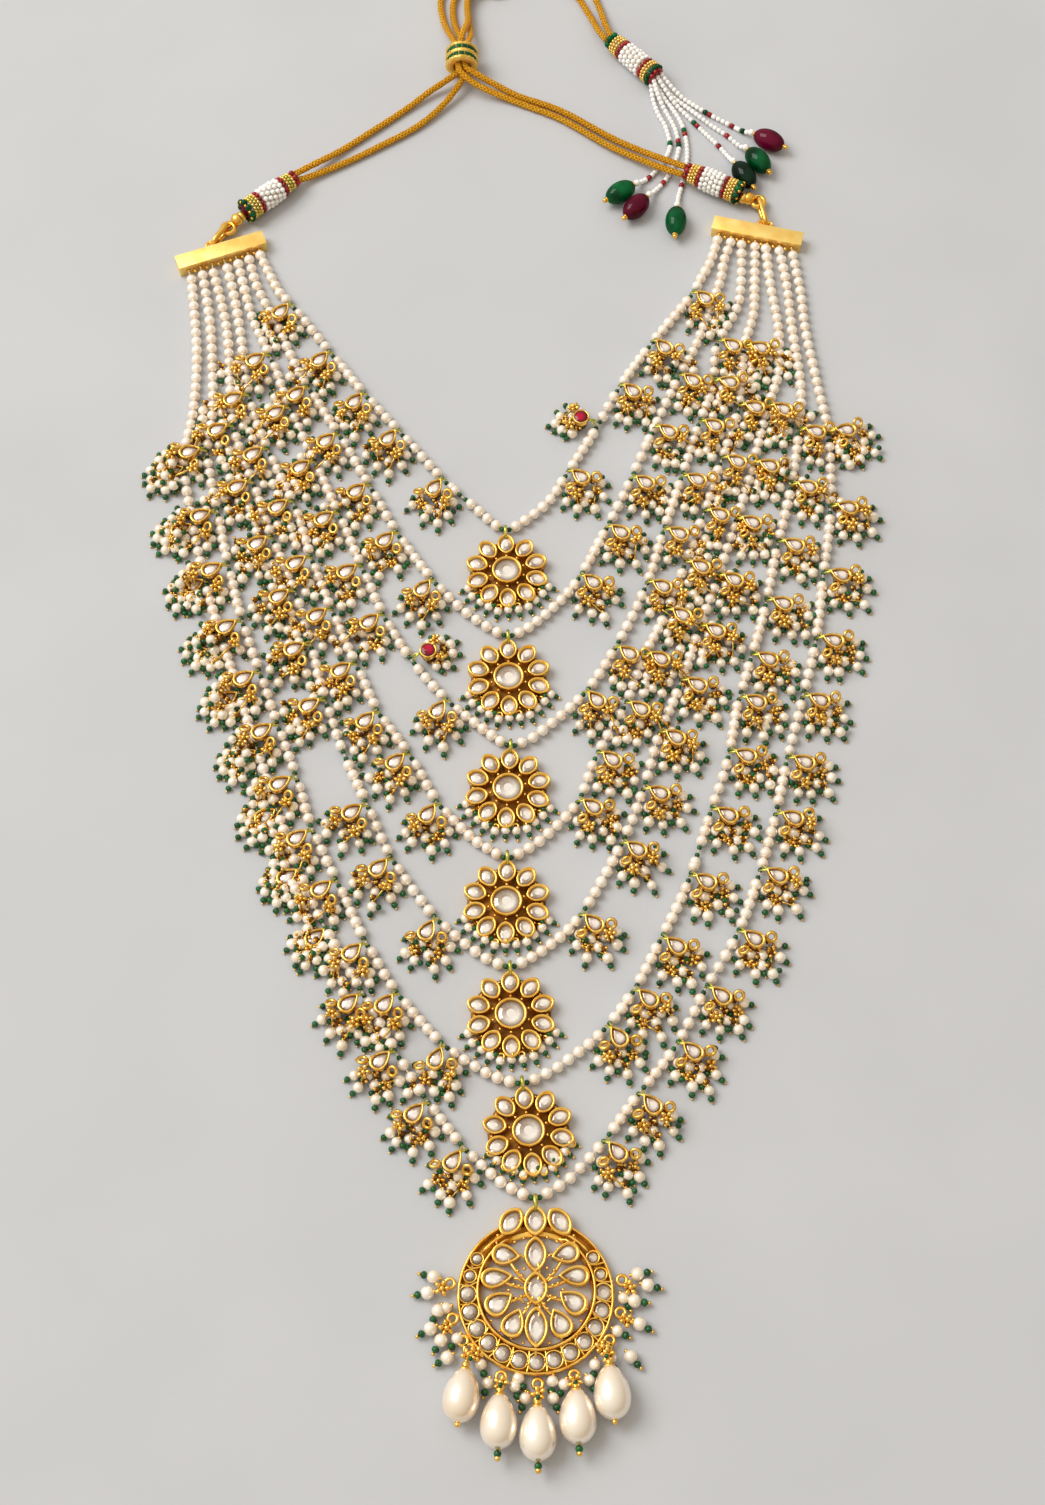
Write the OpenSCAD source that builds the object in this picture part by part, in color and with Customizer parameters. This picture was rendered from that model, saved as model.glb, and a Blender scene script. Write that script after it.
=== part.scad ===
// A groom's necklace of seven nested pearl strings, laid flat.
// The origin is on the resting surface, under the middle of the necklace without its cords.

/* [Strings of pearls] */
// Diameter of the pearls, and so of each string
pearl_d = 4; // [3.6:0.1:4.2]
// Diameter of the silk that is left bare between two beads
thread_d = 0.9; // [0.6:0.1:1]

/* [Charms] */
// Length of the pear setting of a charm
charm_l = 6.6; // [6:0.2:7]
// Width of the pear setting of a charm
charm_w = 4.8; // [4.2:0.2:5]
// Reach of a charm's bunch of small pearls past the middle of its setting
bunch_far = 14.6; // [12:0.2:15]
// Reach of the bunch back towards the string
bunch_near = 5.8; // [4:0.2:6]

/* [Flower pendants] */
// Distance of the petals from the middle of a flower
petal_at = 10.4; // [10.2:0.1:10.6]
// Length of a petal cup
petal_l = 7.2; // [6.8:0.1:7.4]
// Width of a petal cup
petal_w = 5.5; // [5.2:0.1:5.7]
// Diameter of the round cup in the middle
heart_d = 9.8; // [9.4:0.2:10]
// Height of the petal cups
cup_h = 4; // [3.6:0.2:4.2]
// Thickness of the sheet metal walls
wall = 0.7; // [0.6:0.1:0.8]

/* [Crescent pendant] */
// Outer diameter of the crescent
crescent_d = 48; // [47:0.5:49]
// Diameter of the round window in the crescent
window_d = 34.8; // [34:0.4:35.6]
// Height of the crescent's rims
rim_h = 3.6; // [3.2:0.2:4]
// Diameter of the pear pearls that hang below
drop_d = 11; // [10.4:0.2:11.2]
// Length of the pear pearls that hang below
drop_l = 16; // [15:0.2:16.4]

/* [End bars] */
// Length of a bar
bar_l = 34; // [33:0.5:35]
// Width of a bar
bar_w = 6; // [5.5:0.5:6.5]
// Height of a bar
bar_h = 5; // [4.5:0.5:5.5]
// Distance between two of the seven holes in a bar
hole_gap = 4.6; // [4.5:0.1:4.7]
// Diameter of the holes
hole_d = 1.4; // [1.3:0.1:1.6]

/* [Cords and tassel] */
// Diameter of the gold cords
cord_d = 2.5; // [2.2:0.1:2.6]
// Diameter of the beaded barrels on the cords
barrel_d = 8.5; // [8:0.1:8.6]
// Outer diameter of the sliding bead
slider_d = 12.6; // [12:0.2:12.8]
// Length of the sliding bead
slider_l = 8.2; // [7:0.2:8.4]
// Diameter of the seed bead strings of the tassel
seed_d = 1.5; // [1.3:0.1:1.6]
// Diameter of the tassel's oval beads
oval_d = 8; // [7.6:0.2:8.2]
// Length of the tassel's oval beads
oval_l = 12.6; // [12:0.2:13]

/* [Hidden] */

// The gap between a stone and its cup, and how deep the cups are
gap = 0.12;
cup_depth = 1.5;
gold = [0.86, 0.62, 0.20];
pearl = [0.95, 0.90, 0.82];
glass = [0.80, 0.78, 0.76];
pearl_r = pearl_d / 2;

// A bar is [middle x, middle y, turn, order of its strings, place of its ring along it]
bars = [[-109.5, 169.6, 20.5, -1, -1.6], [91, 178.4, -13.4, 1, 2.2]];

// Each string hangs from both bars and meets in the bail of its pendant: [x, y] on the surface
left_routes = [
    [[-95, 169], [-91, 160], [-87, 152], [-82, 146], [-67, 125], [-54, 107], [-41, 91], [-25, 71],
     [-15, 61], [-8, 54]],
    [[-99, 167], [-96, 156], [-92, 147], [-87, 137], [-78, 116], [-63, 90], [-51, 68], [-41, 49],
     [-28, 30], [-18, 19], [-9, 12]],
    [[-103, 165], [-100, 153], [-96, 139], [-89, 123], [-81, 101], [-71, 78], [-62, 57], [-53, 35],
     [-45, 16], [-35, -1], [-22, -17], [-8, -29]],
    [[-107, 163], [-104, 151], [-101, 136], [-96, 106], [-88, 83], [-78, 61], [-71, 39], [-63, 18],
     [-54, -3], [-46, -21], [-35, -37], [-25, -55], [-13, -68]],
    [[-112, 161], [-108, 146], [-105, 130], [-101, 93], [-93, 70], [-85, 47], [-76, 25], [-70, 5],
     [-64, -17], [-57, -37], [-49, -55], [-40, -75], [-25, -96], [-10, -109]],
    [[-116, 160], [-113, 144], [-111, 129], [-109, 100], [-110, 82], [-105, 58], [-100, 36], [-94, 14],
     [-87, -6], [-80, -26], [-73, -45], [-67, -64], [-58, -83], [-48, -104], [-37, -122], [-22, -139],
     [-7, -149]],
    [[-120, 158], [-118, 142], [-116, 123], [-116, 100], [-118, 78], [-113, 51], [-107, 27], [-100, 5],
     [-93, -16], [-86, -37], [-79, -57], [-72, -76], [-62, -98], [-47, -124], [-37, -142], [-26, -159],
     [-14, -174], [-3, -184]]];
right_routes = [
    [[76, 176], [73, 166], [69, 158], [65, 150], [50, 129], [38, 110], [29, 92], [19, 74], [12, 62],
     [2, 53]],
    [[81, 175], [78, 166], [76, 156], [67, 130], [59, 113], [50, 92], [41, 70], [32, 50], [22, 30],
     [12, 18], [4, 11]],
    [[85, 174], [84, 156], [82, 145], [74, 128], [72, 111], [66, 93], [59, 70], [52, 48], [46, 28],
     [34, 2], [23, -15], [7, -30]],
    [[90, 173], [89, 154], [88, 142], [84, 127], [81, 101], [74, 79], [67, 57], [60, 37], [53, 18],
     [45, 1], [38, -18], [28, -37], [21, -55], [8, -69]],
    [[94, 172], [95, 155], [97, 136], [96, 116], [91, 100], [85, 76], [78, 53], [71, 31], [64, 11],
     [57, -10], [49, -30], [43, -51], [35, -71], [21, -96], [8, -108]],
    [[99, 171], [101, 155], [102, 136], [104, 110], [102, 89], [98, 66], [92, 42], [87, 19], [81, -2],
     [76, -19], [72, -39], [65, -60], [57, -84], [47, -105], [38, -122], [27, -136], [13, -147]],
    [[104, 169], [106, 152], [107, 135], [110, 112], [113, 89], [112, 59], [108, 32], [104, 6],
     [98, -17], [92, -39], [87, -60], [81, -80], [73, -101], [62, -120], [52, -139], [39, -156],
     [28, -171], [17, -183]]];

// The bail of each string's pendant: [x, y, turn, distance to the pendant's middle, reach of its fringe]
bails = [
    [-3, 50, 2, 16.6, 17.6], [-2, 8, 1, 16.2, 17.6], [-1, -34, -3, 15.8, 17.6], [-2, -75, -1, 15.4, 17.2],
    [-1, -113, 1, 16, 17.6], [3, -152, 7, 15.6, 15.1], [7, -189, 0, 29.8, 31]];

// Distance of each charm's bail from the bar, along its string
left_charms = [
    [27, 53, 75, 95, 121],
    [63, 86, 110, 132, 155],
    [44, 68, 93, 116, 139, 160, 200],
    [58, 82, 106, 130, 152, 175, 195, 214, 235],
    [69, 94, 118, 141, 163, 185, 227, 248, 274],
    [78, 104, 126, 149, 170, 191, 212, 232, 252, 276, 296, 319],
    [82, 106, 129, 152, 175, 198, 221, 244, 267, 293, 315, 335, 354]];
right_charms = [
    [27, 53, 76, 117],
    [64, 88, 111, 133, 155],
    [46, 64, 82, 106, 129, 151, 179, 199],
    [46, 72, 95, 118, 140, 160, 179, 199, 220, 239],
    [71, 96, 120, 144, 165, 187, 208, 230, 251, 280],
    [80, 103, 127, 151, 173, 190, 211, 233, 258, 282, 302, 317],
    [79, 110, 137, 163, 186, 210, 231, 252, 275, 297, 318, 339, 358]];
// A charm's bail, from its string to the tip of its setting
bail_l = 2.6;
// The two charms with red stones hang inwards: [string, side, distance, direction]
red_charms = [[2, 0, 180, 18], [0, 1, 95, 166]];
// On the outermost left string the bunches down to this distance are tucked under the others
tucked_to = 280;

// The cords' routes, [x, y, z] at their middle line
dori_left_outer_route = [
    [-83.2, 204.3, 5.2], [-78, 209, 3.8], [-66, 218.6, 1.6], [-54, 228.4, 1.4], [-42, 238.4, 1.4],
    [-33, 246, 2.6], [-26, 250.6, 4.2], [-21.8, 254.4, 5], [-21.8, 263.4, 5], [-24, 271, 3.4],
    [-28, 282, 1.4], [-29, 295, 1.4], [-22, 309, 1.4], [-6, 317, 1.4], [13, 314, 1.4],
    [28, 302, 1.4], [33, 290, 1.6], [35.5, 279, 3.2], [37.7, 272.2, 4.3]];
dori_left_inner_route = [
    [-81.9, 202.9, 3.4], [-76, 206.4, 2], [-63, 213.6, 1.4], [-50, 221.6, 1.4], [-37.6, 230, 1.4],
    [-28, 239.4, 2.2], [-21.4, 248.4, 4.2], [-19.2, 254, 5], [-19.2, 263.4, 5], [-20.8, 271, 3.4],
    [-24, 282, 1.4], [-24, 293, 1.4], [-18, 304, 1.4], [-5, 311, 1.4], [10, 308, 1.4],
    [23, 297, 1.4], [29, 286, 1.6], [32.8, 276, 3.2], [35.8, 270.3, 4.3]];
dori_right_route = [
    [64.7, 206.5, 6.8], [58, 210.6, 5.4], [49, 216.4, 3.4], [37, 224, 2.2], [18, 237.6, 1.4], [2, 244.6, 1.4],
    [-8, 249, 3.6], [-15.6, 251.6, 7], [-19.2, 254.6, 7.6], [-19.2, 263.4, 7.6], [-17.4, 271, 5.6],
    [-17.8, 280, 1.8], [-18.6, 289, 1.4], [-18, 295.6, 1.4], [-15.4, 301, 1.4], [-11.4, 304.2, 1.4],
    [-7, 305, 1.4], [-3.4, 303.4, 1.4], [-2, 300, 1.4], [-3.6, 296.8, 1.4], [-7.2, 295.6, 1.4],
    [-12.4, 296.4, 2.2], [-16.8, 294.6, 3.8], [-18.8, 289, 4.1], [-18.4, 280, 4.5], [-20, 271.6, 7.4],
    [-21.8, 263.6, 7.6], [-21.8, 254.4, 7.6],
    [-19.4, 250, 7.2], [-14, 247, 5], [-5, 244, 2.4], [4, 240.4, 1.4], [18, 233.6, 1.4],
    [36, 220.4, 2], [48, 212.8, 3.2], [56, 208, 4.2], [63.7, 204.3, 5]];

// The tassel's strings from its barrel to their oval beads
tassel_routes = [
    [[56.4, 253, 5.4], [61, 247.5, 3.2], [67, 242.5, 0.8], [74, 237, 0.8], [83, 231, 0.8], [88, 227.6, 1.6],
     [91.4, 225, 3.6]],
    [[55.8, 252.5, 3.2], [60.4, 245.6, 1.2], [67, 239.3, 0.8], [75, 231.5, 0.8], [82, 225.5, 0.8],
     [86, 220.6, 1.6], [88.6, 217.6, 3.6]],
    [[54.9, 251.6, 5.4], [59, 245, 3.4], [64.5, 238, 0.8], [72, 228.5, 0.8], [78.5, 220.5, 0.8],
     [82, 214.8, 1.6], [83.8, 211, 3.6]],
    [[54.2, 251, 3.2], [57.6, 244.4, 1.4], [61.6, 237.6, 0.8], [65, 229, 0.8], [66, 216, 0.8],
     [63.6, 203, 0.8],
     [62, 196, 1.6], [61.2, 190.2, 3.6]],
    [[53.6, 250, 5.4], [55.6, 243, 3.4], [59, 236, 0.8], [62, 228, 0.8], [62.6, 218, 0.8], [58, 206, 0.8],
     [53, 199, 1.6], [50.2, 195.2, 3.6]],
    [[52.7, 249.6, 3.2], [53.6, 243, 1.4], [55.6, 236, 0.8], [58.4, 229, 0.8], [59.2, 219, 0.8],
     [53, 208, 0.8],
     [48, 203.4, 1.6], [45.6, 200.8, 3.6]]];
// Each oval bead: [middle x, middle y, direction away from its string, colour]
maroon = [0.45, 0.05, 0.15];
emerald = [0.03, 0.40, 0.22];
deep_green = [0.03, 0.15, 0.08];
ovals = [
    [97.2, 221.4, -29, maroon], [92.6, 211.8, -54, emerald], [87, 205, -60, deep_green],
    [60.6, 183.4, -95, emerald], [45.8, 190, -131, maroon], [40, 196.8, -146, emerald]];

function unit(v) = v / norm(v);
function flip(list) = [for (i = [len(list) - 1 : -1 : 0]) list[i]];

// A smooth curve through the points p, with a fixed number of steps to each span
function curve_at(a, b, c, d, t) =
    0.5 * (2 * b + (c - a) * t + (2 * a - 5 * b + 4 * c - d) * t * t + (3 * b - a - 3 * c + d) * t * t * t);
function curve(p, steps) = concat(
    [for (i = [0 : len(p) - 2]) for (s = [0 : steps - 1])
        curve_at(p[max(i - 1, 0)], p[i], p[i + 1], p[min(i + 2, len(p) - 1)], s / steps)],
    [p[len(p) - 1]]);

// The point at a distance along a route, and the route's direction there
function along(p, at, i = 0) =
    let (step = norm(p[i + 1] - p[i]))
    at <= step || i == len(p) - 2 ? p[i] + unit(p[i + 1] - p[i]) * at : along(p, at - step, i + 1);

// A tube of the given radius at each ring of the route
module tube(route, radii, sides = 8) {
    n = len(route);
    way = [for (i = [0 : n - 1]) unit(route[min(i + 1, n - 1)] - route[max(i - 1, 0)])];
    side = [for (t = way) unit(cross(t, [0, 0, 1]))];
    points = [for (i = [0 : n - 1]) for (k = [0 : sides - 1])
        let (a = 90 + 360 * k / sides, up = cross(side[i], way[i]))
        route[i] + radii[i] * (cos(a) * side[i] + sin(a) * up)];
    faces = concat(
        [[for (k = [sides - 1 : -1 : 0]) k]],
        [for (i = [0 : n - 2]) for (k = [0 : sides - 1])
            let (j = (k + 1) % sides)
            [i * sides + k, i * sides + j, (i + 1) * sides + j, (i + 1) * sides + k]],
        [[for (k = [0 : sides - 1]) (n - 1) * sides + k]]);
    polyhedron(points, faces);
}

function even(value, n) = [for (i = [1 : n]) value];

// A bar's frame: a point so far along it and so far in front of it
function on_bar(bar, x, y) =
    [bar[0] + x * cos(bar[2]) - y * sin(bar[2]), bar[1] + x * sin(bar[2]) + y * cos(bar[2])];
function hole_x(bar, k) = bar[3] * (k - 3) * hole_gap;

// The thread's ends in the two bars, and the beaded stretch between them
function high(p, z) = [p[0], p[1], z];
function thread_in(bar, k) = [
    high(on_bar(bar, hole_x(bar, k), 0), bar_h / 2),
    high(on_bar(bar, hole_x(bar, k), -bar_w / 2 - 0.8), bar_h / 2)];
function beads_left(k) = curve([for (p = left_routes[k]) high(p, pearl_r)], 2);
function beads_right(k) = curve([for (p = right_routes[k]) high(p, pearl_r)], 2);
function bail_point(k) = [bails[k][0], bails[k][1], pearl_r + 0.2];

module strand(k) {
    left = beads_left(k);
    right = flip(beads_right(k));
    middle = bail_point(k);
    toward_left = unit(left[len(left) - 1] - middle);
    toward_right = unit(right[0] - middle);
    left_in = thread_in(bars[0], k);
    right_in = flip(thread_in(bars[1], k));
    neck = thread_d / 2;
    route = concat(
        left_in, [left_in[1] + 0.2 * unit(left[1] - left_in[1])], left,
        [middle + 2.6 * toward_left, middle + 2.4 * toward_left, middle,
         middle + 2.4 * toward_right, middle + 2.6 * toward_right],
        right, [right_in[0] + 0.2 * unit(right[len(right) - 2] - right_in[0])], right_in);
    radii = concat(
        [neck, neck, pearl_r - 0.2], even(pearl_r, len(left)),
        [pearl_r, neck, neck, neck, pearl_r],
        even(pearl_r, len(right)), [pearl_r - 0.2, neck, neck]);
    color(pearl) tube(route, radii);
}

// A pear outline with its tip at +Y, or with both ends pointed
function pear(w, l, n = 12, leaf = false) = [for (i = [0 : n - 1])
    let (a = 360 * i / n, side = leaf ? abs(sin(a)) : sin(a / 2) / 0.77)
    [w / 2 * sin(a) * side, l / 2 * cos(a)]];

// A cup of sheet metal with a raised floor for its stone
module cup(w, l, h, leaf = false) {
    difference() {
        linear_extrude(h) polygon(pear(w, l, 12, leaf));
        translate([0, 0, h - cup_depth]) linear_extrude(2)
            polygon(pear(w - 2 * wall, l - 2.6 * wall, 12, leaf));
    }
}

// A stone with slanted sides and a flat table, standing in its cup
module stone(w, l, top, leaf = false) {
    translate([0, 0, top - 1.3])
        linear_extrude(1.2, scale = 0.62)
        polygon(pear(w - 2 * wall - 2 * gap, l - 2.6 * wall - 2 * gap, 10, leaf));
}
module round_stone(d, top, n = 12) {
    translate([0, 0, top - 1.3]) cylinder(h = 1.2, d1 = d - 2 * wall - 2 * gap, d2 = 0.6 * d, $fn = n);
}

// A bail of round wire about the thread
module bail() {
    rotate([0, 90, 0]) rotate_extrude($fn = 32) translate([1.55, 0]) circle(d = 1, $fn = 16);
}

// An edge of small round scallops, between two radii and two angles
function scallops(r, out, from, to, count) = [for (i = [0 : 4 * count])
    let (a = from + (to - from) * i / (4 * count), s = r + out * abs(sin(180 * i / 4)))
    [s * cos(a), s * sin(a)]];
function arc(r, from, to, n) = [for (i = [0 : n])
    let (a = from + (to - from) * i / n) [r * cos(a), r * sin(a)]];

module at_flower(k) {
    b = bails[k];
    translate([b[0] + b[3] * sin(b[2]), b[1] - b[3] * cos(b[2]), 0]) rotate(b[2]) children();
}

module flower(k) {
    color(gold) at_flower(k) {
        cylinder(h = 1.2, r = petal_at - 1.2, $fn = 64);
        for (i = [0 : 9]) rotate(36 * i) translate([0, petal_at]) rotate(180) cup(petal_w, petal_l, cup_h);
        cylinder(h = cup_h - 0.8, d = heart_d, $fn = 48);
        difference() {
            cylinder(h = cup_h + 0.8, d = heart_d, $fn = 48);
            translate([0, 0, cup_h - 0.8]) cylinder(h = 3, d = heart_d - 2 * wall, $fn = 48);
        }
        linear_extrude(cup_h - cup_depth) polygon(concat(
            scallops(bails[k][4] - 1.6, 1.6, -150, -30, 9), flip(arc(12.4, -150, -30, 12))));
        translate([0, (petal_at + petal_l / 2 + bails[k][3]) / 2 - 1, 1.6])
            cube([1.2, bails[k][3] - petal_at - petal_l / 2 + 0.4, 1.2], center = true);
        translate([0, bails[k][3], pearl_r + 0.2]) bail();
    }
}

module flower_stones(k) {
    color(glass) at_flower(k) {
        for (i = [0 : 9]) rotate(36 * i) translate([0, petal_at]) rotate(180) stone(petal_w, petal_l, cup_h);
        round_stone(heart_d, cup_h + 0.7);
    }
}

// What a bunch has to stay clear of: the strings and the rims of the flowers
function fill(p, n) = [for (i = [0 : len(p) - 2]) for (j = [0 : n - 1]) p[i] + (p[i + 1] - p[i]) * j / n];
function flat(p) = [for (q = p) [q[0], q[1]]];
function middle_of(b) = [b[0] + b[3] * sin(b[2]), b[1] - b[3] * cos(b[2])];
strings = [for (k = [0 : 6]) each concat(fill(flat(beads_left(k)), 6), fill(flat(beads_right(k)), 6))];
rims = [for (b = bails) for (a = [0 : 15 : 345]) middle_of(b) + (b[4] - pearl_r) * [cos(a), sin(a)]];
obstacles = concat(strings, rims);
function near(p, reach) = [for (q = obstacles) if (norm(q - p) < reach) q];

// How far a point is from the nearest of them, and how far a ray from there may run
function room(p, around) = min([for (q = around) norm(q - p)]) - pearl_r - 0.25;
function ray(p, turn, most, around, so_far) =
    so_far >= most || room(p + (so_far + 0.6) * [cos(turn), sin(turn)], around) < 0.12 * so_far
    ? min(so_far, most) : ray(p, turn, most, around, so_far + 0.6);

// The most that a bunch reaches in a direction: an ellipse about the middle of its setting, and no wider
// to either side than its neighbours leave it
function bunch_edge(turn, beside) = min(
    2 * bunch_far * bunch_near / (bunch_far + bunch_near - (bunch_far - bunch_near) * cos(turn)),
    beside / max(0.01, abs(sin(turn))));

// A bunch starts under its setting, or closer to its string where the next string leaves less room
function bunch_start(p, way, around, at = 6) =
    at < 3.1 || room(p + at * way, around) > 0.9 ? p + at * way : bunch_start(p, way, around, at - 0.3);

// A charm: a pear setting with its stone, fused to a low bunch of small pearls that leans downwards
module charm(p, turn, lean, size, beside) {
    around = near(p, 30);
    start = bunch_start(p, [cos(turn), sin(turn)], around);
    free = room(start, around);
    translate([p[0], p[1], pearl_d + 0.2]) rotate(turn + 90) translate([0, -bail_l - charm_l / 2]) {
        linear_extrude(2) polygon(pear(charm_w, charm_l));
        linear_extrude(2.6) polygon(pear(charm_w - 1.6, charm_l - 2, 8));
    }
    linear_extrude(pearl_d) polygon([for (i = [-5 : 5])
        let (a = turn + lean + 24 * i, most = size * bunch_edge(24 * i, beside))
        start + ray(start, a, most, around, min(free, most)) * [cos(a), sin(a)]]);
    translate(start) cylinder(h = pearl_d + 1, r = min(1, 0.8 * free), $fn = 24);
}

// Half of the room between a charm and the nearer of its neighbours on the string
function half_gap(list, i) = 0.39 * min(
    i > 0 ? list[i] - list[i - 1] : 40, i < len(list) - 1 ? list[i + 1] - list[i] : 40);

// A string's charms hang outwards from it, a little below the square to it; side is 1 on the left
module hung_charms(string, list, side, tucked) {
    for (i = [0 : len(list) - 1]) {
        p = along(string, list[i]);
        way = along(string, list[i] + 1) - p;
        size = list[i] < tucked ? 0.56 : 1;
        charm(p, atan2(way[1], way[0]) - side * 76, side * 24, size, half_gap(list, i));
    }
}

module charms(k) {
    left = flat(beads_left(k));
    right = flat(beads_right(k));
    color(gold) {
        hung_charms(left, left_charms[k], 1, k == 6 ? tucked_to : 0);
        hung_charms(right, right_charms[k], -1, 0);
        for (r = red_charms) if (r[0] == k) charm(along(r[1] == 0 ? left : right, r[2]), r[3], 0, 0.75, 9);
    }
}

module end_bar(b) {
    bar = bars[b];
    color(gold) translate([bar[0], bar[1], 0]) rotate(bar[2]) {
        difference() {
            translate([-bar_l / 2, -bar_w / 2, 0]) cube([bar_l, bar_w, bar_h]);
            for (k = [0 : 6]) translate([hole_x(bar, k), 0, bar_h / 2])
                rotate([90, 0, 0]) cylinder(h = bar_w + 2, d = hole_d, center = true, $fn = 24);
        }
        translate([bar[4], bar_w / 2 + 1.7, 2.6]) ring(1.9, 0.55);
    }
}

// A flat ring of round wire
module ring(r, wire_r) {
    rotate_extrude($fn = 32) translate([r, 0]) circle(r = wire_r, $fn = 16);
}

// An upright oval link that passes through the bar's ring and the barrel's eye
module link(from, to) {
    span = norm(to - from);
    turn = atan2(to[1] - from[1], to[0] - from[0]);
    middle_line = [for (s = [-1, 1]) for (a = [-75 : 30 : 75])
        [s * (span / 2 - 2.2 + 1.7 * cos(a)), 0, s * 1.7 * sin(a)]];
    n = len(middle_line);
    sides = 6;
    points = [for (i = [0 : n - 1])
        let (t = unit(middle_line[(i + 1) % n] - middle_line[(i + n - 1) % n]), out = cross(t, [0, 1, 0]))
        for (k = [0 : sides - 1]) let (a = 360 * k / sides)
        middle_line[i] + 0.5 * (cos(a) * [0, 1, 0] + sin(a) * out)];
    faces = [for (i = [0 : n - 1]) for (k = [0 : sides - 1])
        let (j = (k + 1) % sides, m = (i + 1) % n)
        [i * sides + k, i * sides + j, m * sides + j, m * sides + k]];
    color(gold) translate([(from[0] + to[0]) / 2, (from[1] + to[1]) / 2, 2.6]) rotate(turn)
        polyhedron(points, faces);
}

// A barrel wound with seed beads, from its cord end to its far end
module barrel(from, to) {
    way = to - from;
    len_b = norm(way);
    r = barrel_d / 2;
    color(gold) translate(from) rotate([0, acos(way[2] / len_b), atan2(way[1], way[0])])
        rotate_extrude($fn = 48) polygon([[0, 0], [r - 1, 0], [r, 0.8], [r, 2.2], [r - 0.4, 2.6],
            [r - 0.4, len_b - 2.6], [r, len_b - 2.2], [r, len_b - 0.8], [r - 1, len_b], [0, len_b]]);
}

// The gold bead and the flat eye at a barrel's far end
module barrel_eye(ball, eye) {
    way = eye - [ball[0], ball[1]];
    color(gold) {
        translate(ball) rotate_extrude($fn = 32)
            polygon([for (a = [-90 : 15 : 90]) [2.1 * cos(a), 2.1 * sin(a)]]);
        translate([ball[0], ball[1], 2.1]) rotate(atan2(way[1], way[0])) linear_extrude(1) difference() {
            union() {
                translate([norm(way), 0]) circle(r = 2.45, $fn = 32);
                translate([0, -0.6]) square([norm(way) - 1.6, 1.2]);
            }
            translate([norm(way), 0]) circle(r = 1.4, $fn = 32);
        }
    }
}

module dori(route) {
    rings = curve(route, 1);
    color([0.80, 0.58, 0.20]) tube(rings, even(cord_d / 2, len(rings)));
}

module slider() {
    color(gold) translate([-20.5, 254.8, slider_d / 2]) rotate([-90, 0, 0]) rotate_extrude($fn = 48)
        polygon([[3.2, 0], [slider_d / 2 - 0.6, 0], [slider_d / 2, 1], [slider_d / 2, slider_l - 1],
            [slider_d / 2 - 0.6, slider_l], [3.2, slider_l]]);
}

module tassel_string(i) {
    rings = curve(tassel_routes[i], 1);
    color("white") tube(rings, even(seed_d / 2, len(rings)));
}

module tassel_bead(i) {
    o = ovals[i];
    color(o[3]) translate([o[0], o[1], oval_d / 2]) rotate([0, 90, o[2]]) rotate_extrude($fn = 40)
        polygon([for (a = [-90 : 10 : 90]) [oval_d / 2 * cos(a), oval_l / 2 * sin(a)]]);
}

// The crescent pendant's middle, and its parts measured from there
pendant_at = [bails[6][0], bails[6][1] - bails[6][3]];
window_at = [0.2, 1.6];
window_r = window_d / 2;
rim_w = wall + 0.1;
// Petal cups in the window: [x, y, width, length, turn of the tip from +Y]
window_cups = [
    [0, 12.2, 6, 9, 0], [-9, 12.2, 6, 8.2, -97], [9.2, 12.8, 6.2, 8.2, 105],
    [-12.4, 5.2, 6.2, 7.8, -84], [12.4, 6, 6, 7.8, 90], [-11.4, -2.4, 6.6, 7.8, -48],
    [11.8, -2, 6.6, 7.8, 46], [-6.6, -8.2, 6.2, 8.4, -24], [7.6, -8.2, 6.2, 8.4, 26],
    [0.2, -9.8, 6.6, 10.4, 0], [0.1, 2.2, 6.6, 9.2, 0]];
crown_cups = [[-7.4, 22.8, 6, 9.6, -36], [0, 22.6, 6.2, 8.6, 0], [7.4, 22.8, 6, 9.6, 36]];
// The crescent's stones run from one horn to the other
crescent_stones = 17;
drops = [[-21.1, -22, -7.6], [-10.8, -29.5, -1.9], [0.4, -33, 0.7], [12, -28.1, 2.5], [22, -21.1, 4.8]];

// The band between the crescent's rims, and the crown's part of it
module crescent() {
    difference() {
        circle(r = crescent_d / 2, $fn = 96);
        translate(window_at) circle(r = window_r, $fn = 96);
        crown_room();
    }
}
module crown_room() {
    for (c = crown_cups) translate([c[0], c[1]]) rotate(c[4])
        polygon(pear(c[2] - wall, c[3] - wall, 12, true));
}

module pendant_frame() {
    outer_r = crescent_d / 2;
    color(gold) translate(pendant_at) {
        linear_extrude(1.6) crescent();
        linear_extrude(rim_h) difference() {
            crescent();
            circle(r = outer_r - rim_w, $fn = 96);
        }
        linear_extrude(rim_h) intersection() {
            crescent();
            translate(window_at) circle(r = window_r + rim_w, $fn = 96);
        }
        for (c = window_cups) translate([c[0], c[1]]) rotate(c[4]) cup(c[2], c[3], cup_h);
        for (c = crown_cups) translate([c[0], c[1]]) rotate(c[4]) cup(c[2], c[3], cup_h, true);
        for (c = window_cups) if (norm([c[0], c[1] - 2.2]) > 1) strut([0.1, 2.2], [c[0], c[1]], 0.4);
        strut([0, -12], [0, -18.5], 0.4);
        strut([-9, 12.2], [-12, 16], 0.4);
        strut([9.2, 12.8], [12, 16], 0.4);
        strut([0, 26], [0, 28.6], 1.4);
        translate([0, bails[6][3], pearl_r + 0.2]) bail();
    }
}

// A flat wire from one cup to the next
module strut(from, to, z) {
    way = to - from;
    translate([from[0], from[1], z]) rotate(atan2(way[1], way[0]))
        translate([0, -0.5]) cube([norm(way), 1, 1]);
}

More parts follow.
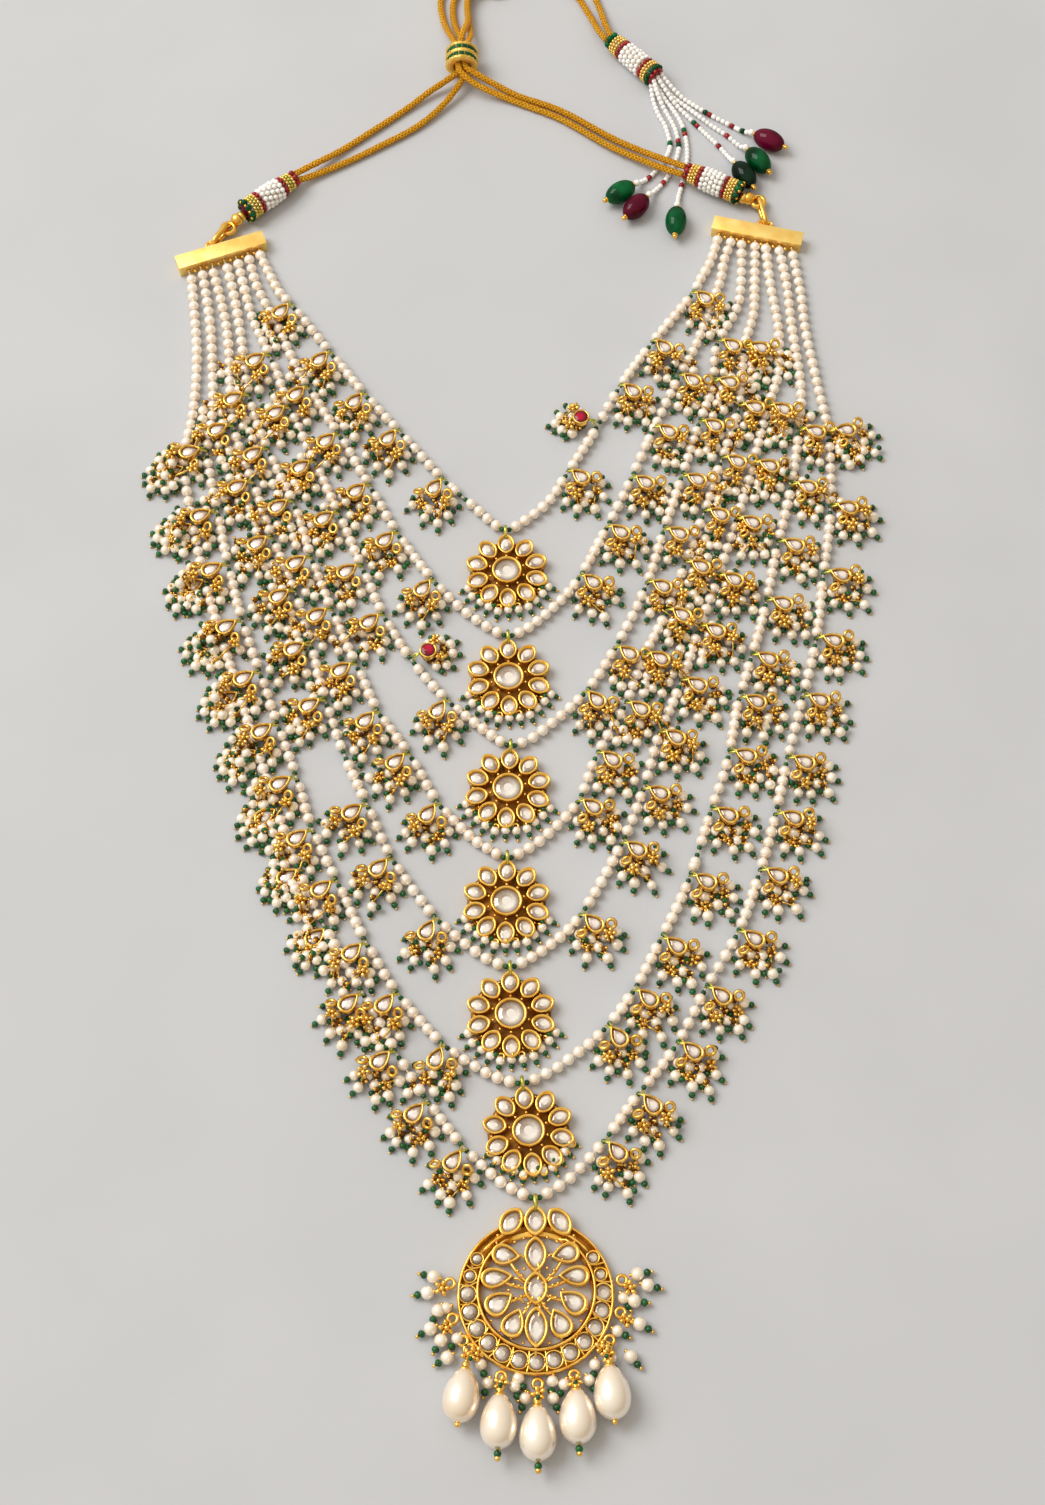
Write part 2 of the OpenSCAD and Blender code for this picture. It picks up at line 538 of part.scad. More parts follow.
module pendant_stones() {
    color(glass) translate(pendant_at) {
        for (c = window_cups) translate([c[0], c[1]]) rotate(c[4]) stone(c[2], c[3], cup_h);
        for (c = crown_cups) translate([c[0], c[1]]) rotate(c[4]) stone(c[2], c[3], cup_h, true);
        for (i = [0 : crescent_stones - 1]) {
            a = 148 + 15.35 * i;
            d = i < 2 || i > crescent_stones - 3 ? 2.4 : 3.4;
            r = 20.7 + 0.8 * sin(a);
            translate([r * cos(a), r * sin(a), 1.7]) cylinder(h = 1.5, d1 = d, d2 = 0.6 * d, $fn = 10);
        }
    }
}

// The fringe of small pearls about the crescent's lower side, wider at its two ends
module pendant_fringe() {
    edge = [for (p = scallops(28.6, 1.6, -194, 14, 17))
        p + 16 * max(0, abs(p[0]) / norm(p) - 0.72) * unit(p)];
    color(pearl) translate(pendant_at) linear_extrude(2.4)
        polygon(concat(edge, flip(arc(crescent_d / 2 + 0.3, -194, 14, 34))));
}

// A pear pearl lying below the crescent
module pendant_drop(i) {
    r = drop_d / 2;
    color(pearl) translate(pendant_at) translate([drops[i][0], drops[i][1], r]) rotate([90, 0, drops[i][2]])
        rotate_extrude($fn = 40) polygon(concat([[0, -0.6], [1.2, -0.6], [1.4, 0.2]],
            [for (t = [18 : 9 : 171]) [r * sin(t) * (1 - 0.2 * cos(t)) / 1.02, drop_l / 2 * (1 - cos(t))]],
            [[0, drop_l]]));
}

// The barrels' ends, their gold beads and their eyes
left_cord_end = [-82.8, 203.4, 4.3];
left_far_end = [-101.6, 186.6, 4.3];
left_ball = [-104.2, 184.3, 3.6];
left_eye = [-107.4, 181.8];
right_cord_end = [64.6, 205.4, 5.9];
right_far_end = [85.4, 195.4, 4.3];
right_ball = [88.4, 194.1, 3.6];
right_eye = [92, 194.2];

end_bar(0);  // end_bar_left
end_bar(1);  // end_bar_right
link(on_bar(bars[0], bars[0][4], bar_w / 2 + 1.7), left_eye);  // link_left
link(on_bar(bars[1], bars[1][4], bar_w / 2 + 1.7), right_eye);  // link_right
barrel(left_cord_end, left_far_end);  // barrel_left
barrel_eye(left_ball, left_eye);  // barrel_eye_left
barrel(right_cord_end, right_far_end);  // barrel_right
barrel_eye(right_ball, right_eye);  // barrel_eye_right
barrel([37.2, 270.6, 4.3], [54.4, 251.6, 4.3]);  // barrel_tassel
slider();
dori(dori_left_outer_route);  // dori_left_outer
dori(dori_left_inner_route);  // dori_left_inner
dori(dori_right_route);  // dori_right
tassel_string(0);  // tassel_string_1
tassel_string(1);  // tassel_string_2
tassel_string(2);  // tassel_string_3
tassel_string(3);  // tassel_string_4
tassel_string(4);  // tassel_string_5
tassel_string(5);  // tassel_string_6
tassel_bead(0);  // tassel_bead_1
tassel_bead(1);  // tassel_bead_2
tassel_bead(2);  // tassel_bead_3
tassel_bead(3);  // tassel_bead_4
tassel_bead(4);  // tassel_bead_5
tassel_bead(5);  // tassel_bead_6
strand(0);  // strand_1
strand(1);  // strand_2
strand(2);  // strand_3
strand(3);  // strand_4
strand(4);  // strand_5
strand(5);  // strand_6
strand(6);  // strand_7
charms(0);  // charms_1
charms(1);  // charms_2
charms(2);  // charms_3
charms(3);  // charms_4
charms(4);  // charms_5
charms(5);  // charms_6
charms(6);  // charms_7
flower(0);  // flower_1
flower(1);  // flower_2
flower(2);  // flower_3
flower(3);  // flower_4
flower(4);  // flower_5
flower(5);  // flower_6
flower_stones(0);  // flower_stones_1
flower_stones(1);  // flower_stones_2
flower_stones(2);  // flower_stones_3
flower_stones(3);  // flower_stones_4
flower_stones(4);  // flower_stones_5
flower_stones(5);  // flower_stones_6
pendant_frame();
pendant_stones();
pendant_fringe();
pendant_drop(0);  // pendant_drop_1
pendant_drop(1);  // pendant_drop_2
pendant_drop(2);  // pendant_drop_3
pendant_drop(3);  // pendant_drop_4
pendant_drop(4);  // pendant_drop_5
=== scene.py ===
# %% [markdown]
# # A groom's necklace of seven pearl strings
#
# Seven strings of pearls hang from two gold bars, with charms of small pearls on them. Six carry a
# flower of stones at their lowest point, and the longest a crescent pendant. Gold cords tie the
# necklace behind the neck. The solid parts are already packed: this lesson loads them as a fixed
# frame and gives each of them the surface of the real thing. Everything is in metres, in the frame
# of the solid parts. The shapes are worked out in millimetres and scaled once, when a mesh is made.

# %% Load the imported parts
import math

import bmesh
import bpy
import numpy as np
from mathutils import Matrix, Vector, kdtree


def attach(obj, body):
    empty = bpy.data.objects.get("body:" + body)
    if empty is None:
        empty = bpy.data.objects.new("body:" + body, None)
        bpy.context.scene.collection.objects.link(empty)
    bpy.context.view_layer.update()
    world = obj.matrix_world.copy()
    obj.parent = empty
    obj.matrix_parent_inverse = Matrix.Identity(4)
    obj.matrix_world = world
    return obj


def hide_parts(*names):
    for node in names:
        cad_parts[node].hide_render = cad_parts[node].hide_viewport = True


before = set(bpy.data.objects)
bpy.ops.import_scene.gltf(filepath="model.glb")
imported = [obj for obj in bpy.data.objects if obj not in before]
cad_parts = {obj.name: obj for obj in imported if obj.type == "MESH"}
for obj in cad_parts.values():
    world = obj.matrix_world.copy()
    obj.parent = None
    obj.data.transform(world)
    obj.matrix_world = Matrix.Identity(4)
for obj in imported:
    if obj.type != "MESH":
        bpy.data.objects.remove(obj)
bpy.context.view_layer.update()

MM = 0.001
print("solid parts:", len(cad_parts))

# %% [markdown]
# ## The camera
#
# The necklace lies on a table, and the camera looks down at it from about 65 degrees above the
# table, from the pendant's side. The lens is slightly long, so that the far strings are only a
# little smaller than the near ones.

# %% Camera
camera_lens = bpy.data.cameras.new("camera")
camera_lens.lens = 57.0
camera_lens.sensor_width = 36.0
camera = bpy.data.objects.new("camera", camera_lens)
camera.location = (0.003, -0.3756, 0.7305)
camera.rotation_euler = (math.radians(25), 0, 0)
bpy.context.scene.collection.objects.link(camera)
bpy.context.scene.camera = camera
bpy.context.scene.view_settings.view_transform = "Standard"
print("camera at", tuple(camera.location))

# %% [markdown]
# ## Curves and skins
#
# Two small sets of tools serve every piece. The first draws smooth lines through a few points, in
# the way a beader lays out a thread. The second joins rows of points into a closed skin: a cup, a
# bead, a tube of wire and a ring are all the same idea, a row of points that is repeated at another
# size or place. Such skins are lighter than general modelling tools and their faces always point
# outwards.

# %% Lines
def smooth_line(points, steps):
    """A smooth line through the points, with a number of steps to each span."""
    p = np.array(points, float)
    rows = []
    for i in range(len(p) - 1):
        a, b, c, d = p[max(i - 1, 0)], p[i], p[i + 1], p[min(i + 2, len(p) - 1)]
        for t in np.arange(steps) / steps:
            rows.append(0.5 * (2 * b + (c - a) * t + (2 * a - 5 * b + 4 * c - d) * t * t
                               + (3 * b - a - 3 * c + d) * t ** 3))
    return np.array(rows + [p[-1]])


def lengths(line):
    """The distance of each point from the line's start."""
    return np.concatenate([[0], np.cumsum(np.linalg.norm(np.diff(line, axis=0), axis=1))])


def at_length(line, distance):
    """The points at these distances along the line."""
    run = lengths(line)
    return np.column_stack([np.interp(distance, run, line[:, k]) for k in range(line.shape[1])])


def polar(turn, reach=1.0):
    return np.array([math.cos(math.radians(turn)), math.sin(math.radians(turn))]) * reach


# %% Skins
def skin(rows, closed_rows=False):
    """Joins rows of points into a closed skin; the rows run anticlockwise, seen from the last."""
    rows = [np.array(r, float) for r in rows]
    n, m = len(rows[0]), len(rows)
    faces = []
    for i in range(m if closed_rows else m - 1):
        a, b = i * n, ((i + 1) % m) * n
        faces += [(a + k, a + (k + 1) % n, b + (k + 1) % n, b + k) for k in range(n)]
    if not closed_rows:
        faces.append(tuple(range(n - 1, -1, -1)))
        faces.append(tuple((m - 1) * n + k for k in range(n)))
    return np.vstack(rows), faces


def together(shapes):
    """Several shapes as one."""
    points, faces, start = [], [], 0
    for p, f in shapes:
        points.append(p)
        faces += [tuple(start + k for k in face) for face in f]
        start += len(p)
    return np.vstack(points), faces


def turned(shape, turn=0.0, at=(0, 0, 0)):
    """A shape turned about the upright axis and moved."""
    p = np.array(shape[0])
    c, s = math.cos(math.radians(turn)), math.sin(math.radians(turn))
    moved = np.column_stack([p[:, 0] * c - p[:, 1] * s, p[:, 0] * s + p[:, 1] * c, p[:, 2]])
    return moved + np.array(at, float), shape[1]


def laid(shape, start, way, spin=0.0):
    """A shape with its upright axis turned to a way in space, and its foot at start."""
    z = np.array(way, float) / np.linalg.norm(way)
    x = np.cross(z, [0, 0, 1.0]) if abs(z[2]) < 0.99 else np.array([1.0, 0, 0])
    x /= np.linalg.norm(x)
    y = np.cross(z, x)
    c, s = math.cos(math.radians(spin)), math.sin(math.radians(spin))
    x, y = c * x + s * y, c * y - s * x
    return np.array(shape[0]) @ np.array([x, y, z]) + np.array(start, float), shape[1]


# %% Outlines and what is turned from them
def upright(loop, z):
    return np.column_stack([loop, np.full(len(loop), z)])


def round_loop(radius, sides):
    a = 2 * np.pi * np.arange(sides) / sides
    return np.column_stack([np.cos(a), np.sin(a)]) * radius


def pear_loop(width, length, sides, leaf=0.0):
    """A pear outline with its tip at +Y, or a leaf with two tips as sharp as leaf says."""
    a = -2 * np.pi * np.arange(sides) / sides
    across = np.sin(a) * (np.abs(np.sin(a)) ** leaf if leaf else np.abs(np.sin(a / 2)) ** 0.9)
    return np.column_stack([width / 2 * across / np.abs(across).max(), length / 2 * np.cos(a)])


def lathe(profile, sides, closed=False):
    """A turned shape from its profile, a list of radius and height."""
    return skin([upright(round_loop(r, sides), z) for r, z in profile], closed)


def ball(radius, around, up, squash=1.0, at=(0, 0, 0)):
    """A closed ball with its two poles on the upright axis."""
    levels = np.pi * (np.arange(1, up) / up - 0.5)
    points, faces = lathe([(radius * math.cos(t), squash * radius * math.sin(t)) for t in levels],
                          around)
    faces = faces[:-2]
    low, high = len(points), len(points) + 1
    points = np.vstack([points, [0, 0, -squash * radius], [0, 0, squash * radius]])
    last = (len(levels) - 1) * around
    faces += [(low, (k + 1) % around, k) for k in range(around)]
    faces += [(high, last + k, last + (k + 1) % around) for k in range(around)]
    return points + np.array(at, float), faces


def tube(line, radius, sides, closed=False):
    """A round tube along a line in space, its radius one number or one for each point."""
    p = np.array(line, float)
    way = np.roll(p, -1, 0) - np.roll(p, 1, 0)
    if not closed:
        way[0], way[-1] = p[1] - p[0], p[-1] - p[-2]
    way /= np.linalg.norm(way, axis=1)[:, None]
    up = np.array([0, 0, 1.0]) if np.abs(way[:, 2]).max() < 0.98 else np.array([0.31, 0.95, 0.05])
    side = np.cross(way, up)
    side /= np.linalg.norm(side, axis=1)[:, None]
    over = np.cross(side, way)
    a = 2 * np.pi * np.arange(sides) / sides
    r = np.broadcast_to(radius, len(p))
    rows = [p[i] + r[i] * (np.cos(a)[:, None] * side[i] + np.sin(a)[:, None] * over[i])
            for i in range(len(p))]
    return skin([row[::-1] for row in rows], closed)


def wire_ring(radius, wire, around, sides, at=(0, 0, 0)):
    """A ring of round wire that lies flat."""
    return turned(tube(upright(round_loop(radius, around), 0), wire, sides, True), at=at)


# %% Meshes and pieces
def as_mesh(name, shape, smooth=True):
    mesh = bpy.data.meshes.new(name)
    mesh.from_pydata((np.array(shape[0]) * MM).tolist(), [], shape[1])
    mesh.polygons.foreach_set("use_smooth", [smooth] * len(mesh.polygons))
    return mesh


def as_object(name, mesh):
    thing = bpy.data.objects.new(name, mesh)
    bpy.context.scene.collection.objects.link(thing)
    return thing


def part(name, shape, material):
    """A shape as an object with its finish."""
    thing = as_object(name, as_mesh(name, shape))
    thing.data.materials.append(material)
    return thing


def finished(thing, slot, *replaced):
    """Makes an object a piece: it rides the necklace and may stand for solid parts."""
    spots = np.empty(len(thing.data.vertices) * 3, np.float32)
    thing.data.vertices.foreach_get("co", spots)
    spots[2::3] = np.maximum(spots[2::3], 0)
    thing.data.vertices.foreach_set("co", spots)
    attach(thing, "root")
    if replaced:
        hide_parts(*replaced)
    triangles[thing.name] = sum(len(p.vertices) - 2 for p in thing.data.polygons)
    return thing


def count_of(start):
    """The triangles of all pieces whose names start so."""
    return sum(n for name, n in triangles.items() if name.startswith(start))


triangles = {}

# %% [markdown]
# ## Finishes
#
# Each finish is a Principled shader with a pattern that runs through space, so it needs no painted
# picture. Two effects come back in most of them and are node groups: tone drift, which lets a
# colour wander between two tones as pearls and old gold do, and a fine grain that gives the height
# for a bump. Both read Object coordinates. The pieces all stand at the origin, so a pattern runs on
# from one piece to the next and no two pearls look the same.

# %% Nodes and their links
def feed(tree, socket, value):
    """Gives a socket a constant, or the output of another node."""
    if isinstance(value, bpy.types.NodeSocket):
        tree.links.new(value, socket)
    else:
        socket.default_value = value


def add(tree, kind, **inputs):
    """A new node with its inputs fed; an input's name is written with _ for a space."""
    node = tree.nodes.new(kind)
    for name, value in inputs.items():
        feed(tree, node.inputs[name.replace("_", " ")], value)
    return node


def ramp_between(tree, value, low, high):
    """A value that rises from 0 at low to 1 at high."""
    ramp = add(tree, "ShaderNodeMapRange", Value=value, From_Min=low, From_Max=high)
    return ramp.outputs["Result"]


def mixed(tree, share, one, two):
    """Two colours mixed by a share, each a constant or an output of another node."""
    mix = add(tree, "ShaderNodeMix")
    mix.data_type = "RGBA"
    sockets = [s for s in mix.inputs if s.type == "RGBA"]
    for socket, value in zip([mix.inputs["Factor"], *sockets], [share, one, two]):
        feed(tree, socket, value)
    return [s for s in mix.outputs if s.type == "RGBA"][0]


def math_node(tree, operation, *values):
    step = add(tree, "ShaderNodeMath")
    step.operation = operation
    for socket, value in zip(step.inputs, values):
        feed(tree, socket, value)
    return step.outputs[0]


# %% Shared node groups
def new_group(name, inputs, outputs, detail):
    """A node group with a cloud of noise in it, and what it is given and gives."""
    group = bpy.data.node_groups.new(name, "ShaderNodeTree")
    for title, kind, value in inputs:
        socket = group.interface.new_socket(name=title, in_out="INPUT", socket_type=kind)
        socket.default_value = value
    for title, kind in outputs:
        group.interface.new_socket(name=title, in_out="OUTPUT", socket_type=kind)
    given, made = add(group, "NodeGroupInput").outputs, add(group, "NodeGroupOutput").inputs
    cloud = add(group, "ShaderNodeTexNoise", Scale=given["Scale"], Detail=detail,
                Vector=add(group, "ShaderNodeTexCoord").outputs["Object"])
    return group, cloud.outputs[0], given, made


tone_drift, cloud, given, made = new_group(
    "tone drift",
    [("Dark", "NodeSocketColor", (0, 0, 0, 1)), ("Light", "NodeSocketColor", (1, 1, 1, 1)),
     ("Scale", "NodeSocketFloat", 200.0)],
    [("Color", "NodeSocketColor"), ("Mask", "NodeSocketFloat")], 2)
drift = ramp_between(tone_drift, cloud, 0.33, 0.67)
feed(tone_drift, made["Color"], mixed(tone_drift, drift, given["Dark"], given["Light"]))
feed(tone_drift, made["Mask"], drift)

fine_grain, cloud, given, made = new_group(
    "fine grain", [("Scale", "NodeSocketFloat", 2000.0), ("Depth", "NodeSocketFloat", 0.3)],
    [("Height", "NodeSocketFloat")], 3)
feed(fine_grain, made["Height"], math_node(fine_grain, "MULTIPLY", cloud, given["Depth"]))
print("node groups:", tone_drift.name, "and", fine_grain.name)

# %% Makers of finishes
# How far the painted shade and grime of crevices reach, and how high grain stands, in metres
CREVICE_SHADE_REACH = 0.0014
GRAIN_HEIGHT = 0.0003


def new_material(name, **shader):
    """A material, its tree and its shader, with the shader's constants set."""
    material = bpy.data.materials.new(name)
    material.use_nodes = True
    surface = material.node_tree.nodes["Principled BSDF"]
    for socket, value in shader.items():
        surface.inputs[socket.replace("_", " ")].default_value = value
    return material, material.node_tree, surface.inputs


def group_in(tree, group, **values):
    held = tree.nodes.new("ShaderNodeGroup")
    held.node_tree = group
    for name, value in values.items():
        held.inputs[name].default_value = value
    return held.outputs


def map_parts(tree, name):
    """The coordinates of a piece's own map."""
    own_map = add(tree, "ShaderNodeUVMap")
    own_map.uv_map = name
    return add(tree, "ShaderNodeSeparateXYZ", Vector=own_map.outputs["UV"]).outputs


def finish(name, dark, light, drift_scale, rough, grain_scale=2000.0, grain=0.0, bump=0.1,
           crevice_shade_and_grime=None, **shader):
    """A finish whose colour drifts between two tones, with a roughness range, a fine bump, and
    painted shade and grime in its crevices if asked.
    """
    material, tree, surface = new_material(name, **shader)
    tones = group_in(tree, tone_drift, Dark=(*dark, 1), Light=(*light, 1), Scale=drift_scale)
    tint = tones["Color"]
    # Painted shade and grime: where the metal stands close, its colour is mixed towards a dark tone
    if crevice_shade_and_grime:
        crevice_shade_ao = add(tree, "ShaderNodeAmbientOcclusion", Distance=CREVICE_SHADE_REACH)
        crevice_shade_ao.samples = 4
        crevice_shade_ao.only_local = True
        tint = mixed(tree, ramp_between(tree, crevice_shade_ao.outputs["AO"], 0.1, 0.6), (*crevice_shade_and_grime, 1), tint)
    feed(tree, surface["Base Color"], tint)
    spread = add(tree, "ShaderNodeMapRange", Value=tones["Mask"], To_Min=rough[0], To_Max=rough[1])
    feed(tree, surface["Roughness"], spread.outputs["Result"])
    if grain:
        height = group_in(tree, fine_grain, Scale=grain_scale, Depth=grain)["Height"]
        raised = add(tree, "ShaderNodeBump", Strength=bump, Distance=GRAIN_HEIGHT, Height=height)
        feed(tree, surface["Normal"], raised.outputs["Normal"])
    return material


def stone_finish(name, rim, lit_tone, shade, **shader):
    """A stone over foil: its facets are painted from lit to shaded by the light they throw back,
    and its edge is painted with the setting's shade.
    """
    material, tree, surface = new_material(name, **shader)
    outwards, painted_light = map_parts(tree, "stone")[:2]
    body = mixed(tree, painted_light, (*shade, 1), (*lit_tone, 1))
    # The rim colour is painted shade of the setting along the stone's edge
    edge = ramp_between(tree, outwards, 0.6, 0.97)
    feed(tree, surface["Base Color"], mixed(tree, edge, body, (*rim, 1)))
    return material


# %% [markdown]
# Pearl is a pale body under a thin clear skin: a coat over a satin base gives the sharp highlight
# on the soft one. Gold is the shader's metal with a warm base, painted darker where the metal
# stands close, as painted shade with some grime. The foil-backed stones are neither glass nor
# mirror: their own map carries painted light. Its first coordinate runs from the stone's middle to
# its rim, where the shade of the setting is painted in, and its second is the painted share of
# light that a facet throws back.

# %% Pearl, gold, glass and silk
skin_of_pearl = dict(Coat_Weight=0.8, Coat_Roughness=0.1, Specular_IOR_Level=0.6)
pearl = finish("pearl", (0.97, 0.83, 0.68), (1.0, 0.93, 0.82), 170, (0.24, 0.32), 900, 0.5, 0.05,
               Metallic=0.32, Coat_Weight=0.7, Coat_Roughness=0.12, Specular_IOR_Level=0.6)
fringe_pearl = finish("fringe pearl", (0.90, 0.77, 0.58), (1.0, 0.93, 0.80), 210, (0.24, 0.32),
                      1100, 0.6, 0.06, Metallic=0.32, **skin_of_pearl)
drop_pearl = finish("drop pearl", (0.98, 0.82, 0.64), (1.0, 0.91, 0.78), 60, (0.2, 0.26), 300, 0.3,
                    0.03, Metallic=0.55, **(skin_of_pearl | dict(Coat_Roughness=0.16)))
# Gold, charm gold and slider gold are painted darker in their crevices: painted shade with some
# grime
gold = finish("gold", (0.90, 0.47, 0.06), (1.0, 0.66, 0.17), 240, (0.2, 0.3),
              crevice_shade_and_grime=(0.20, 0.08, 0.006), Metallic=0.95)
charm_gold = finish("charm gold", (0.76, 0.38, 0.035), (1.0, 0.70, 0.21), 620, (0.2, 0.3), 5200,
                    0.5, 0.08, crevice_shade_and_grime=(0.16, 0.07, 0.006), Metallic=0.95)
# A very dark gold that is painted shade under the charms and between the petals
shade_gold = finish("old gold", (0.10, 0.035, 0.004), (0.28, 0.12, 0.016), 300, (0.4, 0.6), 1500,
                  0.8, 0.4, Metallic=0.8)
# A darker gold for the low tray floor: painted shade in the recess
tray_shade_gold = finish("tray gold", (0.26, 0.11, 0.012), (0.52, 0.26, 0.04), 300, (0.35, 0.5), 1500,
                   0.8, 0.3, Metallic=0.85)
bail_gold = finish("bail gold", (0.42, 0.50, 0.06), (0.80, 0.66, 0.16), 700, (0.2, 0.35),
                   Metallic=0.9)
row_gold = finish("row gold", (0.85, 0.52, 0.09), (1.0, 0.76, 0.26), 700, (0.25, 0.38),
                  Metallic=0.8)
bar_gold = finish("bar gold", (0.99, 0.64, 0.16), (1.0, 0.78, 0.28), 160, (0.42, 0.52), 520, 0.9,
                  0.35, Metallic=0.85)
slider_gold = finish("slider gold", (0.85, 0.52, 0.08), (1.0, 0.74, 0.22), 500, (0.36, 0.48), 1500,
                     0.8, 0.3, crevice_shade_and_grime=(0.16, 0.07, 0.01), Metallic=0.9)
green_bead = finish("green bead", (0.002, 0.036, 0.006), (0.006, 0.13, 0.026), 500, (0.2, 0.34),
                    Coat_Weight=0.25, Coat_Roughness=0.06, Specular_IOR_Level=0.3)
white_seed = finish("white seed", (0.90, 0.88, 0.85), (1.0, 0.98, 0.95), 500, (0.25, 0.4),
                    Coat_Weight=0.4, Coat_Roughness=0.1)
red_seed = finish("red seed", (0.14, 0.0, 0.002), (0.40, 0.008, 0.012), 500, (0.15, 0.25),
                  Coat_Weight=0.4, Coat_Roughness=0.06, Specular_IOR_Level=0.2)
maroon_glass, emerald_glass, dark_green_glass = (
    finish(name, dark, light, 120, (0.12, 0.2), Coat_Weight=0.34, Coat_Roughness=0.05,
           Specular_IOR_Level=0.0)
    for name, dark, light in (("maroon glass", (0.035, 0.0, 0.004), (0.13, 0.002, 0.022)),
                              ("emerald glass", (0.0, 0.022, 0.005), (0.0, 0.12, 0.032)),
                              ("dark green glass", (0.001, 0.008, 0.003), (0.005, 0.032, 0.014))))
silk = finish("silk", (0.55, 0.47, 0.36), (0.72, 0.64, 0.5), 900, (0.6, 0.8), 3000, 0.8, 0.4)
# Each stone: its painted rim shade, its lit tone and its painted shade
clear_stone = stone_finish(
    "foil backed stone", (0.13, 0.075, 0.03), (0.96, 0.90, 0.82), (0.30, 0.21, 0.14),
    Metallic=0.3, Roughness=0.14, Coat_Weight=0.8, Coat_Roughness=0.03)
band_stone = stone_finish(
    "band stone", (0.11, 0.06, 0.025), (0.80, 0.71, 0.61), (0.24, 0.16, 0.10),
    Metallic=0.5, Roughness=0.16, Coat_Weight=0.8, Coat_Roughness=0.03)
charm_stone = stone_finish(
    "charm stone", (0.12, 0.06, 0.025), (0.95, 0.86, 0.79), (0.36, 0.26, 0.19),
    Metallic=0.25, Roughness=0.16, Coat_Weight=1.0, Coat_Roughness=0.03)
ruby = stone_finish(
    "ruby stone", (0.06, 0.0, 0.003), (0.50, 0.002, 0.035), (0.17, 0.0, 0.010), Metallic=0.0,
    Roughness=0.15, Coat_Weight=0.5, Coat_Roughness=0.04, Specular_IOR_Level=0.1)
print("finishes:", len(bpy.data.materials))

# %% [markdown]
# ## The gold cords
#
# The cords are braided from gold thread, limp and about 2.5 mm thick. A braid could be a woven mesh
# of strands, but at this size two families of ridges that wind in opposite directions give the same
# surface: the tube's own radius swells where a strand lies on top, and the finish repeats the
# pattern on the cord's own map, so that it follows every bend. The routes are the same points that
# the solid parts follow, in metres.

# %% Routes of the cords
dori_routes = {
    "dori_left_outer": [
        (-.0832, .2043, .0052), (-.078, .209, .0038), (-.066, .2186, .0016), (-.054, .2284, .0014),
        (-.042, .2384, .0014), (-.033, .246, .0026), (-.026, .2506, .0042), (-.0218, .2544, .005),
        (-.0218, .2634, .005), (-.024, .271, .0034), (-.028, .282, .0014), (-.029, .295, .0014),
        (-.022, .309, .0014), (-.006, .317, .0014), (.013, .314, .0014), (.028, .302, .0014),
        (.033, .29, .0016), (.0355, .279, .0032), (.0377, .2722, .0043)],
    "dori_left_inner": [
        (-.0819, .2029, .0034), (-.076, .2064, .002), (-.063, .2136, .0014), (-.05, .2216, .0014),
        (-.0376, .23, .0014), (-.028, .2394, .0022), (-.0214, .2484, .0042), (-.0192, .254, .005),
        (-.0192, .2634, .005), (-.0208, .271, .0034), (-.024, .282, .0014), (-.024, .293, .0014),
        (-.018, .304, .0014), (-.005, .311, .0014), (.01, .308, .0014), (.023, .297, .0014),
        (.029, .286, .0016), (.0328, .276, .0032), (.0358, .2703, .0043)],
    "dori_right": [
        (.0647, .2065, .0068), (.058, .2106, .0054), (.049, .2164, .0034), (.037, .224, .0022),
        (.018, .2376, .0014), (.002, .2446, .0014), (-.008, .249, .0036), (-.0156, .2516, .007),
        (-.0192, .2546, .0076), (-.0192, .2634, .0076), (-.0174, .271, .0056), (-.0178, .28, .0018),
        (-.0186, .289, .0014), (-.018, .2956, .0014), (-.0154, .301, .0014), (-.0114, .3042, .0014),
        (-.007, .305, .0014), (-.0034, .3034, .0014), (-.002, .3, .0014), (-.0036, .2968, .0014),
        (-.0072, .2956, .0014), (-.0124, .2964, .0022), (-.0168, .2946, .0038),
        (-.0188, .289, .0041), (-.0184, .28, .0045), (-.02, .2716, .0074), (-.0218, .2636, .0076),
        (-.0218, .2544, .0076), (-.0194, .25, .0072), (-.014, .247, .005), (-.005, .244, .0024),
        (.004, .2404, .0014), (.018, .2336, .0014), (.036, .2204, .002), (.048, .2128, .0032),
        (.056, .208, .0042), (.0637, .2043, .005)]}
# The diameter in metres, and the points in each ring
CORD_D = 0.0025
CORD_SIDES = 16
# In millimetres: the step between two rings, the length in which a strand goes once round, and the
# least height of the cord's middle
CORD_STEP = 0.55
CORD_TURN = 5.0
CORD_LOW = 1.28
# How much thinner the cord is between its strands, as a share
SWELL = 0.06

# %% Finish of the braid
zari, tree, surface = new_material("zari cord", Metallic=0.6, Specular_IOR_Level=0.05,
                                   Roughness=0.34)
round_it, along_it = map_parts(tree, "cord")[:2]


def ridges(strands, lean):
    """Ridges that wind round the cord: so many strands, leaning one way or the other."""
    around = math_node(tree, "MULTIPLY", round_it, strands * 2 * math.pi)
    along = math_node(tree, "MULTIPLY", along_it, lean * 2 * math.pi)
    return math_node(tree, "SINE", math_node(tree, "ADD", around, along))


braid = math_node(tree, "MAXIMUM", ridges(4, 1.7), ridges(4, -1.7))
threads = math_node(tree, "MAXIMUM", ridges(16, 9), ridges(16, -9))
threads = math_node(tree, "MULTIPLY", threads, 0.4)
braid_height = math_node(tree, "ADD", braid, threads)
tones = group_in(tree, tone_drift, Dark=(0.98, 0.42, 0.005, 1), Light=(1.0, 0.72, 0.10, 1),
                 Scale=1500.0)
# Painted shade: the braid's valleys take a dark brown, its ridges the gold's tones
painted_ridge_light = ramp_between(tree, braid_height, 0.1, 1.1)
feed(tree, surface["Base Color"], mixed(tree, painted_ridge_light, (0.60, 0.20, 0.0, 1), tones["Color"]))
raised = add(tree, "ShaderNodeBump", Strength=0.8, Distance=0.00025, Height=braid_height)
feed(tree, surface["Normal"], raised.outputs["Normal"])

